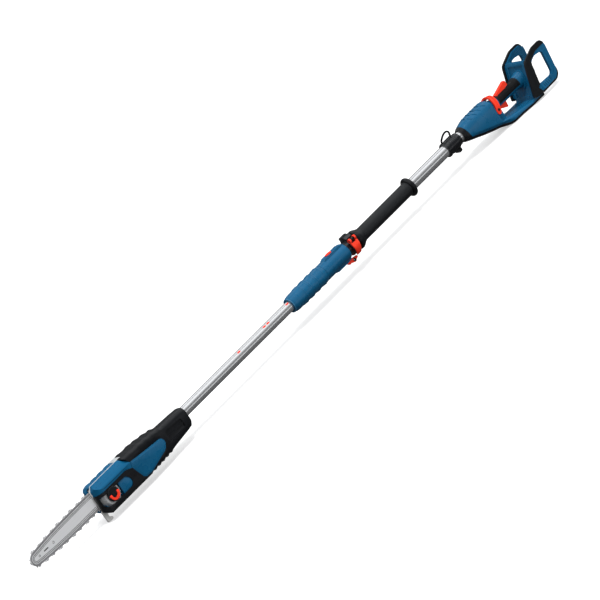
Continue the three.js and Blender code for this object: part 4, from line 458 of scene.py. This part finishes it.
def brighten_cutters(chain):
    """The cutters are paler than the links, and stand further out from the bar."""
    link_reach = 3.4
    chain.data.materials.append(CUTTER_STEEL)
    for face in chain.data.polygons:
        if gap("guide_bar", face.center / MM) > link_reach:
            face.material_index = 1


finished = {node: refined(node) for node in NODES}
brighten_cutters(finished["chain"])


# ---------------------------------------------------------------- small relief laid on the shapes, in mm

DOWN = (0, 0, -1)
RIGHTWARDS = (0, -1, 0)
ABOVE = 200.0  # height from which a line is sent down
BESIDE = 100.0  # distance from which a line is sent sideways
AROUND = 50.0  # distance from the pole's axis from which a line is sent back to it
SUNK = 0.2  # relief starts this far under the skin
BEAD_SIDES = 8
HOOP_SIDES = 48
RELIEF_CREASE = math.radians(40)


def land(node, start, direction):
    """Where a straight line first meets a node, and the surface's normal there; None where it misses."""
    place, normal, _, _ = TREES[node].ray_cast(Vector(start) * MM, Vector(direction))
    return None if place is None else (place / MM, normal)


def landings(node, starts, direction):
    """The places and normals where those of the lines that meet a node do so."""
    return [hit for hit in (land(node, start, direction) for start in starts) if hit]


def circle(sides):
    """The cosines and sines of evenly spaced turns."""
    turns = [2 * math.pi * n / sides for n in range(sides)]
    return [(math.cos(turn), math.sin(turn)) for turn in turns]


def turned(x, z, profile, sides):
    """Rings of a profile of radius and Y, turned about the line along Y through x and z."""
    return [[(x + r * c, y, z + r * s) for r, y in profile] for c, s in circle(sides)]


def skin_height(node, x, y, z):
    """How far a node's skin is from the pole's axis, at one place along it and in the direction y, z."""
    hit = land(node, (x, AROUND * y, AXIS + AROUND * z), (0, -y, -z))
    return math.hypot(hit[0].y, hit[0].z - AXIS) if hit else None


def ring_round(node, x, swell, radius):
    """A closed bead round the pole's axis, laid on a node's skin where lumps and ears leave it plain."""
    spokes = circle(HOOP_SIDES)
    levels = [skin_height(node, x, y, z) for y, z in spokes]
    levels = sorted(level for level in levels if level)
    level = levels[len(levels) // 3] + swell  # a third of the way up, past the grooves and below the ears
    section = [(radius * c, level + radius * s) for c, s in circle(BEAD_SIDES)]
    return [[(x + along, out * y, AXIS + out * z) for along, out in section] for y, z in spokes]


class Relief:
    """Several small solids gathered in one mesh."""

    def __init__(self):
        self.bm = bmesh.new()

    def loft(self, rings, closed=False):
        """Joins rings of points in order, and caps both ends unless the rings close on themselves."""
        made = [[self.bm.verts.new(Vector(p) * MM) for p in ring] for ring in rings]
        pairs = list(zip(made, made[1:])) + ([(made[-1], made[0])] if closed else [])
        for a, b in pairs:
            for k in range(len(a)):
                n = (k + 1) % len(a)
                self.bm.faces.new((a[k], a[n], b[n], b[k]))
        if not closed:
            self.bm.faces.new(reversed(made[0]))
            self.bm.faces.new(made[-1])

    def bead(self, points, radius):
        """A round bead along a line of points, thinner towards its ends."""
        thinnest = 0.25
        last = len(points) - 1
        rings = []
        for k, point in enumerate(points):
            ahead = (points[min(k + 1, last)] - points[max(k - 1, 0)]).normalized()
            across = ahead.orthogonal().normalized()
            other = ahead.cross(across)
            r = radius * max(thinnest, math.sin(math.pi * k / last) ** 0.5)
            rings.append([point + r * (c * across + s * other) for c, s in circle(BEAD_SIDES)])
        self.loft(rings)

    def stud(self, place, normal, radius, height):
        """A low dome that starts just under the surface."""
        normal = Vector(normal)
        across = normal.orthogonal().normalized()
        other = normal.cross(across)
        rings = []
        for level, width in ((-SUNK, 1.0), (0.45 * height, 0.86), (height, 0.4)):
            rings.append([place + level * normal + radius * width * (c * across + s * other)
                          for c, s in circle(BEAD_SIDES)])
        self.loft(rings)

    def pad(self, place, normal, length, width, height, slant=0.25):
        """A low moulded bar along the pole, with sloping sides and cut corners."""
        corner = 0.3
        place, normal, along = Vector(place), Vector(normal), Vector((1, 0, 0))
        across = normal.cross(along).normalized()
        rings = []
        for level, inset in ((-SUNK, 0.0), (0.5 * height, 0.4 * slant), (height, slant)):
            a, b = length / 2 - inset, width / 2 - inset
            corners = ((-a, corner - b), (corner - a, -b), (a - corner, -b), (a, corner - b),
                       (a, b - corner), (a - corner, b), (corner - a, b), (-a, b - corner))
            rings.append([place + level * normal + u * along + v * across for u, v in corners])
        self.loft(rings)

    def piece(self, name, body, slot, material=None):
        """Puts the gathered solids in the scene as one piece."""
        bmesh.ops.recalc_face_normals(self.bm, faces=self.bm.faces)
        mesh = bpy.data.meshes.new(name)
        self.bm.to_mesh(mesh)
        self.bm.free()
        mesh.shade_smooth()
        mesh.set_sharp_from_angle(angle=RELIEF_CREASE)
        return add_object(name, mesh, body, slot, (), material)


def nose_scallops():
    """Curved ribs down the shoulders of the rear unit's nose, one beside each groove."""
    first, pitch, count = 93.0, 17.0, 4
    inner, reach, sweep, curl = 9.0, 13.5, 9.0, 1.6
    shares = [k / 8 for k in range(9)]
    relief = Relief()
    for side, node in ((LEFT, "rear_housing_left"), (RIGHT, "rear_housing_right")):
        for n in range(count):
            top = first + pitch * n
            starts = [(top - sweep * part ** curl, side * (inner + reach * part), ABOVE) for part in shares]
            hits = landings(node, starts, DOWN)
            relief.bead([place for place, _ in hits], radius=1.5)
    relief.piece("nose_scallops", "rear_unit", "blue_shell")


def grip_ribs():
    """Fine ribs along the soft skin of the rear grip."""
    highest, pitch, count = 8.0, 6.0, 3
    front, step = 30, 6
    relief = Relief()
    for side in SIDES:
        for n in range(count):
            height = AXIS + highest - pitch * n
            starts = [(x, side * BESIDE, height) for x in range(front, -front - 1, -step)]
            hits = landings("grip_overmould", starts, (0, -side, 0))
            relief.bead([place for place, _ in hits], radius=0.75)
    relief.piece("grip_ribs", "rear_unit", "soft_grip")


def collar_ribs():
    """Five ribs round the strap collar, and two thin ones at its front end."""
    low, high = mm_box("strap_collar")
    first, pitch, count = low.x + 13.5, 5.0, 5
    relief = Relief()
    for k in range(count):
        relief.loft(ring_round("strap_collar", first + pitch * k, swell=-0.1, radius=1.0), closed=True)
    for behind_front in (9.5, 5.0):
        relief.loft(ring_round("strap_collar", high.x - behind_front, swell=0.0, radius=0.6), closed=True)
    relief.piece("collar_ribs", "rear_unit", "black_shell", GLOSS_BLACK)


def sleeve_lip():
    """The rolled lip at the front end of the sleeve's grip, in a paler blue that is a painted highlight of
    the light the lip catches.
    """
    behind_front = 1.6
    relief = Relief()
    relief.loft(ring_round("sleeve_grip", SLEEVE_FRONT - behind_front, swell=0.0, radius=1.5), closed=True)
    relief.piece("sleeve_lip", "rear_unit", "blue_shell", PAINTED_HIGHLIGHT_BLUE)


def sleeve_ridges():
    """A fine ridge on each swell of the sleeve's grip, found as the highest place of its neighbourhood."""
    margin, reach, least_swell = 4, 3, 0.02
    slant = math.radians(45)
    low = mm_box("sleeve_grip")[0]
    places = [low.x + margin + k for k in range(int(SLEEVE_FRONT - low.x) - 2 * margin)]
    heights = [skin_height("sleeve_grip", x, math.cos(slant), math.sin(slant)) for x in places]
    relief = Relief()
    for k in range(reach, len(places) - reach):
        around = heights[k - reach:k + reach + 1]
        highest = heights[k] >= max(around) and heights[k] > heights[k - 1]
        if highest and heights[k] > min(around) + least_swell:
            relief.loft(ring_round("sleeve_grip", places[k], swell=-1.7, radius=2.4), closed=True)
    relief.piece("sleeve_ridges", "rear_unit", "blue_shell")


def rail_foot_shade():
    """Dark lines along both feet of the rail on the sleeve's body, where its skin first steps up: painted
    shade of the groove there.
    """
    first, pitch, count = mm_box("sleeve_body")[0].x + 5, 7.0, 12
    widest, step, steps = 22.0, 0.4, 50
    rail_rise, lift = 1.5, Vector((0, 0, 0.1))
    relief = Relief()
    for side in SIDES:
        points = []
        for n in range(count):
            starts = [(first + pitch * n, side * (widest - step * k), ABOVE) for k in range(steps)]
            skin = [place for place, _ in landings("sleeve_body", starts, DOWN)]
            for foot, inward in zip(skin, skin[1:]):
                if inward.z > foot.z + rail_rise:
                    points.append(foot + lift)
                    break
        relief.bead(points, radius=0.8)
    relief.piece("rail_foot_shade", "rear_unit", "blue_shell", PAINTED_SHADE_BLUE)


def eyelet_hole_shade():
    """A dark ring in and round the hole of the sleeve's eyelet: painted shade that makes the hole read dark.
    """
    low, high = mm_box("sleeve_eyelet")
    x, z, hole = low.x + 14.0, low.z + 6.2, 3.2
    bore, rim, flange = hole - 0.8, hole + 1.1, hole + 1.5
    proud, edge = 0.35, 0.05
    profile = ((bore, low.y - proud), (rim, low.y - proud), (flange, low.y - edge),
               (flange, high.y + edge), (rim, high.y + proud), (bore, high.y + proud))
    relief = Relief()
    relief.loft(turned(x, z, profile, sides=24), closed=True)
    relief.piece("eyelet_hole_shade", "rear_unit", "black_shell")


def cover_crease():
    """A dark line along the groove that runs round the cover where its sloping top meets its side; its dark
    blue is painted shade of the groove.
    """
    first, pitch, count = HEAD_FRONT - 10, 4.6, 24
    top, step, steps = AXIS + 34, 0.6, 60
    sideways, below_edge = 0.95, Vector((0, -0.15, -1.6))
    points = []
    for k in range(count):
        starts = [(first - pitch * k, BESIDE, top - step * n) for n in range(steps)]
        hits = landings("sprocket_cover", starts, RIGHTWARDS)
        side_wall = [place for place, normal in hits if normal.y > sideways]
        points += [place + below_edge for place in side_wall[:1]]
    relief = Relief()
    relief.bead(points, radius=0.65)
    relief.piece("cover_crease", "extension", "blue_shell", PAINTED_SHADE_BLUE)


def staggered(low, high, step):
    """Places in X and Z on a grid whose every second row is shifted by half a step."""
    margin, row_height = 3, 0.87 * step
    row = 0
    z = low.z + margin
    while z < high.z:
        x = low.x + (step / 2 if row % 2 else 0)
        while x < high.x:
            yield x, z
            x += step
        z += row_height
        row += 1


def guard_studs():
    """A field of low dark studs on the inner face of each guard, kept off its edges and off what touches it;
    their dark blue is painted shade of dimples.
    """
    step, radius, height = 3.9, 1.2, 0.5
    border, clearance, same = 1.5, 2.5, 0.05
    face_depth = 0.5
    start, inner_face = GUARD_INSIDE / 2, GUARD_INSIDE + face_depth
    neighbours = ("rear_housing_left", "rear_housing_right", "battery_rail", "bottom_skid")
    footprint = ((0, 0), (border, 0), (-border, 0), (0, border), (0, -border))
    for side, node in ((LEFT, "guard_left"), (RIGHT, "guard_right")):
        relief = Relief()
        for x, z in staggered(*mm_box(node), step):
            hits = [land(node, (x + dx, side * start, z + dz), (0, side, 0)) for dx, dz in footprint]
            flat = all(hit and abs(abs(hit[0].y) - inner_face) < same for hit in hits)
            if flat and all(gap(other, hits[0][0]) > clearance for other in neighbours):
                relief.stud(hits[0][0], (0, -side, 0), radius, height)
        relief.piece(node + "_studs", "rear_unit", "blue_shell", PAINTED_SHADE_BLUE)


def strut_ribs():
    """Cross ribs on the sloping face of each guard's lower strut, in a dark blue that paints shade along
    them.
    """
    first, pitch, count = -100.0, 6.0, 5
    top_y, top_z = GUARD_OUTSIDE - 5.0, AXIS - 37
    foot_y, foot_z = GUARD_OUTSIDE - 0.2, AXIS - 49
    shares = [k / 6 for k in range(7)]
    relief = Relief()
    for side in SIDES:
        for n in range(count):
            x = first + pitch * n
            top, foot = Vector((x, side * top_y, top_z)), Vector((x, side * foot_y, foot_z))
            relief.bead([top.lerp(foot, part) for part in shares], radius=0.7)
    relief.piece("guard_strut_ribs", "rear_unit", "blue_shell", PAINTED_SHADE_BLUE)


def bar_outline():
    """The outline of the bar's left face, as points of X and Z with the face to the left of each step."""
    facing, same = 0.99, 0.05
    source = bmesh.new()
    source.from_mesh(NODES["guide_bar"].data)
    bmesh.ops.remove_doubles(source, verts=source.verts, dist=WELD)
    leftwards = [f for f in source.faces if f.normal.y > facing]
    flat = {f for f in leftwards if abs(f.calc_center_median().y / MM - BAR_FACE) < same}
    follow = {}
    for face in flat:
        for loop in face.loops:
            if not any(f in flat for f in loop.edge.link_faces if f is not face):
                follow[loop.vert.index] = (loop.link_loop_next.vert.index, loop.vert.co / MM)
    outlines = []
    while follow:
        at, points = next(iter(follow)), []
        while at in follow:
            at, place = follow.pop(at)
            points.append(place.xz)
        outlines.append(points)
    source.free()
    outline = max(outlines, key=lambda points: max(p.x for p in points) - min(p.x for p in points))
    area = sum(a.x * b.y - b.x * a.y for a, b in zip(outline, outline[1:] + outline[:1]))
    return outline if area > 0 else outline[::-1]


def moved_in(outline, distance):
    """An outline moved inwards, with its corners kept sharp."""
    least_spread = 0.5
    moved = []
    for before, here, after in zip(outline[-1:] + outline, outline, outline[1:] + outline[:1]):
        first, second = (here - before).normalized(), (after - here).normalized()
        inward = Vector((-first.y - second.y, first.x + second.x)).normalized()
        spread = max(least_spread, inward.dot(Vector((-first.y, first.x))))
        moved.append(here + inward * distance / spread)
    return moved


def bar_rails():
    """The fine dark lines along the edge of the bar, outside and inside its rails: painted shade of the
    narrow gaps and grooves there.
    """
    sunk, proud = 0.1, 0.06
    outline = bar_outline()
    relief = Relief()
    for side in SIDES:
        under, over = side * (BAR_FACE - sunk), side * (BAR_FACE + proud)
        for inset, width in ((2.0, 1.5), (5.6, 1.2)):
            edges = zip(moved_in(outline, inset), moved_in(outline, inset + width))
            rings = [[(a.x, under, a.y), (b.x, under, b.y), (b.x, over, b.y), (a.x, over, a.y)]
                     for a, b in edges]
            relief.loft(rings, closed=True)
    relief.piece("bar_rail_lines", "extension", "bar_steel", PAINTED_SHADE_STEEL)


def bar_marks():
    """Dark rims round the bar's two small holes, and a dark oblong for the recess between them: painted shade
    of the hole walls and of the recess.
    """
    sunk, proud, rim, slant = 0.1, 0.06, 1.2, 0.2
    nose = sum(corner.x for corner in mm_box("nose_sprocket")) / 2
    relief = Relief()
    for side in SIDES:
        under, over = side * (BAR_FACE - sunk), side * (BAR_FACE + proud)
        for behind_nose, hole in ((66.0, 2.2), (12.6, 1.8)):
            profile = ((hole, under), (hole + rim, under), (hole + rim - slant, over), (hole, over))
            relief.loft(turned(nose - behind_nose, AXIS, profile, sides=20), closed=True)
        relief.pad((nose - 38, under, AXIS), (0, side, 0), length=16.0, width=3.0, height=0.16, slant=0.05)
    relief.piece("bar_marks", "extension", "bar_steel", PAINTED_SHADE_STEEL)


def length_marks():
    """Printed dashes on the front tube that show how far it is drawn out."""
    middle_turn, steps = 58.0, 6
    stations = ((-4.5, 1.4), (-3.9, 1.7), (3.9, 1.7), (4.5, 1.4))  # place along the dash, degrees in a step
    low, high = mm_box("front_tube")
    radius = (high.z - low.z) / 2
    skins = ((radius - 0.1, range(-steps, steps + 1)), (radius + 0.07, range(steps, -steps - 1, -1)))
    relief = Relief()
    for ahead in (7.0, 83.0, 97.0, 198.0):
        for side in SIDES:
            rings = []
            for along, step in stations:
                turns = [(r, math.radians(middle_turn + step * k)) for r, ks in skins for k in ks]
                rings.append([(SLEEVE_FRONT + ahead + along, side * r * math.cos(t), AXIS + r * math.sin(t))
                              for r, t in turns])
            relief.loft(rings)
    relief.piece("length_marks", "extension", "orange", PRINTED_ORANGE)


def cover_marks():
    """Two rows of small moulded dashes on the cover's sloping top."""
    first, pitch, count = HEAD_FRONT - 16, 17.0, 6
    upwards = 0.5
    relief = Relief()
    for y in (13.0, 20.0):
        for k in range(count):
            hit = land("sprocket_cover", (first - pitch * k, y, ABOVE), DOWN)
            if hit and hit[1].z > upwards:
                relief.pad(*hit, length=7.0 if k % 2 else 4.5, width=1.5, height=0.5)
    relief.piece("cover_marks", "extension", "blue_shell")


def frame_ribs():
    """Four slanting ribs on the rear corner of the cover's frame."""
    first, pitch, count = HEAD_FRONT - 112, 4.2, 4
    top, step, steps = AXIS + 2, 2.6, 9
    slant, sideways = 1.2, 0.8
    relief = Relief()
    for k in range(count):
        starts = [(first - pitch * k, BESIDE, top - step * n - slant * k) for n in range(steps)]
        hits = landings("cover_frame", starts, RIGHTWARDS)
        relief.bead([place for place, normal in hits if normal.y > sideways], radius=0.8)
    relief.piece("frame_ribs", "extension", "black_shell")


nose_scallops()
grip_ribs()
collar_ribs()
sleeve_lip()
sleeve_ridges()
rail_foot_shade()
eyelet_hole_shade()
cover_crease()
guard_studs()
strut_ribs()
bar_rails()
bar_marks()
length_marks()
cover_marks()
frame_ribs()


# ---------------------------------------------------------------- floor, light and camera, in metres


def lay_floor():
    """White paper under the saw; it takes shadows and throws no light back."""
    half_size, drop = 40.0, 0.0005
    corners = [(x * half_size, y * half_size, 0.0) for x, y in ((-1, -1), (1, -1), (1, 1), (-1, 1))]
    mesh = bpy.data.meshes.new("floor")
    mesh.from_pydata(corners, [], [(0, 1, 2, 3)])
    floor = bpy.data.objects.new("floor", mesh)
    floor.location.z = -drop
    floor.visible_glossy = False
    floor.visible_diffuse = False
    scene.collection.objects.link(floor)
    paper = Graph("paper")
    white = (1.0, 1.0, 1.0)
    tone = paper.mix(paper.noise(scale=3.0), scaled(white, 0.58), scaled(white, 0.60))
    mesh.materials.append(paper.finish(tone, roughness=0.9, Specular_IOR_Level=0.1,
                                       Emission_Color=(*white, 1.0), Emission_Strength=0.52))


# Strip lights along the pole: degrees above the left horizon, and brightness. 90 is straight up.
SKY_BANDS = (
    (-170, 0.12), (-150, 0.08), (-15, 0.08), (-12, 0.80), (-3, 0.80), (1, 0.10), (28, 0.12), (44, 0.38),
    (60, 1.05), (92, 1.05), (97, 0.22), (107, 0.22), (111, 1.20), (130, 1.20), (141, 0.20), (178, 0.10),
)
SKY_TINT = (0.97, 0.985, 1.0)


def studio_sky():
    """A dim room with long soft lights overhead."""
    world = bpy.data.worlds.new("studio")
    world.use_nodes = True
    tree = world.node_tree
    place = tree.nodes.new("ShaderNodeTexCoord")
    split = tree.nodes.new("ShaderNodeSeparateXYZ")
    angle = tree.nodes.new("ShaderNodeMath")
    angle.operation = "ARCTAN2"
    turn = tree.nodes.new("ShaderNodeMapRange")
    turn.inputs["From Min"].default_value = -math.pi
    turn.inputs["From Max"].default_value = math.pi
    ramp = tree.nodes.new("ShaderNodeValToRGB")
    tree.links.new(place.outputs["Generated"], split.inputs["Vector"])
    tree.links.new(split.outputs["Z"], angle.inputs[0])
    tree.links.new(split.outputs["Y"], angle.inputs[1])
    tree.links.new(angle.outputs["Value"], turn.inputs["Value"])
    tree.links.new(turn.outputs["Result"], ramp.inputs["Fac"])
    tree.links.new(ramp.outputs["Color"], tree.nodes["Background"].inputs["Color"])
    while len(ramp.color_ramp.elements) < len(SKY_BANDS):
        ramp.color_ramp.elements.new(0.5)
    for element, (degrees, level) in zip(ramp.color_ramp.elements, SKY_BANDS):
        element.position = (degrees + 180) / 360
        element.color = (*(level * tint for tint in SKY_TINT), 1.0)
    return world


def sun(name, towards, energy, spread):
    """A soft light from far away, shining from the direction given and leaving no glints."""
    light = bpy.data.lights.new(name, "SUN")
    light.energy = energy
    light.angle = math.radians(spread)
    lamp = bpy.data.objects.new(name, light)
    lamp.rotation_mode = "QUATERNION"
    lamp.rotation_quaternion = Vector(towards).to_track_quat("Z", "Y")
    lamp.visible_glossy = False
    scene.collection.objects.link(lamp)


def long_lens(target, towards, roll, distance, view_width):
    """A camera so far away that the pole keeps its width; the roll takes the pole from corner to corner."""
    across = Vector((1, 0, 0)).cross(towards).normalized()
    along = across.cross(towards)
    right = math.cos(roll) * along - math.sin(roll) * across
    turn = Matrix((right, towards.cross(right), towards)).transposed()
    data = bpy.data.cameras.new("camera")
    data.lens = data.sensor_width * distance / view_width
    data.clip_end = 200.0
    camera = bpy.data.objects.new("camera", data)
    camera.matrix_world = Matrix.Translation(target + towards * distance) @ turn.to_4x4()
    scene.collection.objects.link(camera)
    return camera


lay_floor()
scene.view_settings.view_transform = "Standard"
scene.world = studio_sky()
sun("key", (-0.1, 0.35, 1.0), energy=2.3, spread=20.0)
sun("fill", (-0.2, 1.0, 0.2), energy=1.35, spread=60.0)
sun("back", (0.1, -1.0, 0.3), energy=0.8, spread=60.0)
scene.camera = long_lens(
    target=Vector((0.8254, 0.0, 0.0585)),
    towards=Vector((0.4995, 0.8128, 0.2988)).normalized(),
    roll=math.radians(44.92),
    distance=65.0,
    view_width=1.45985,
)
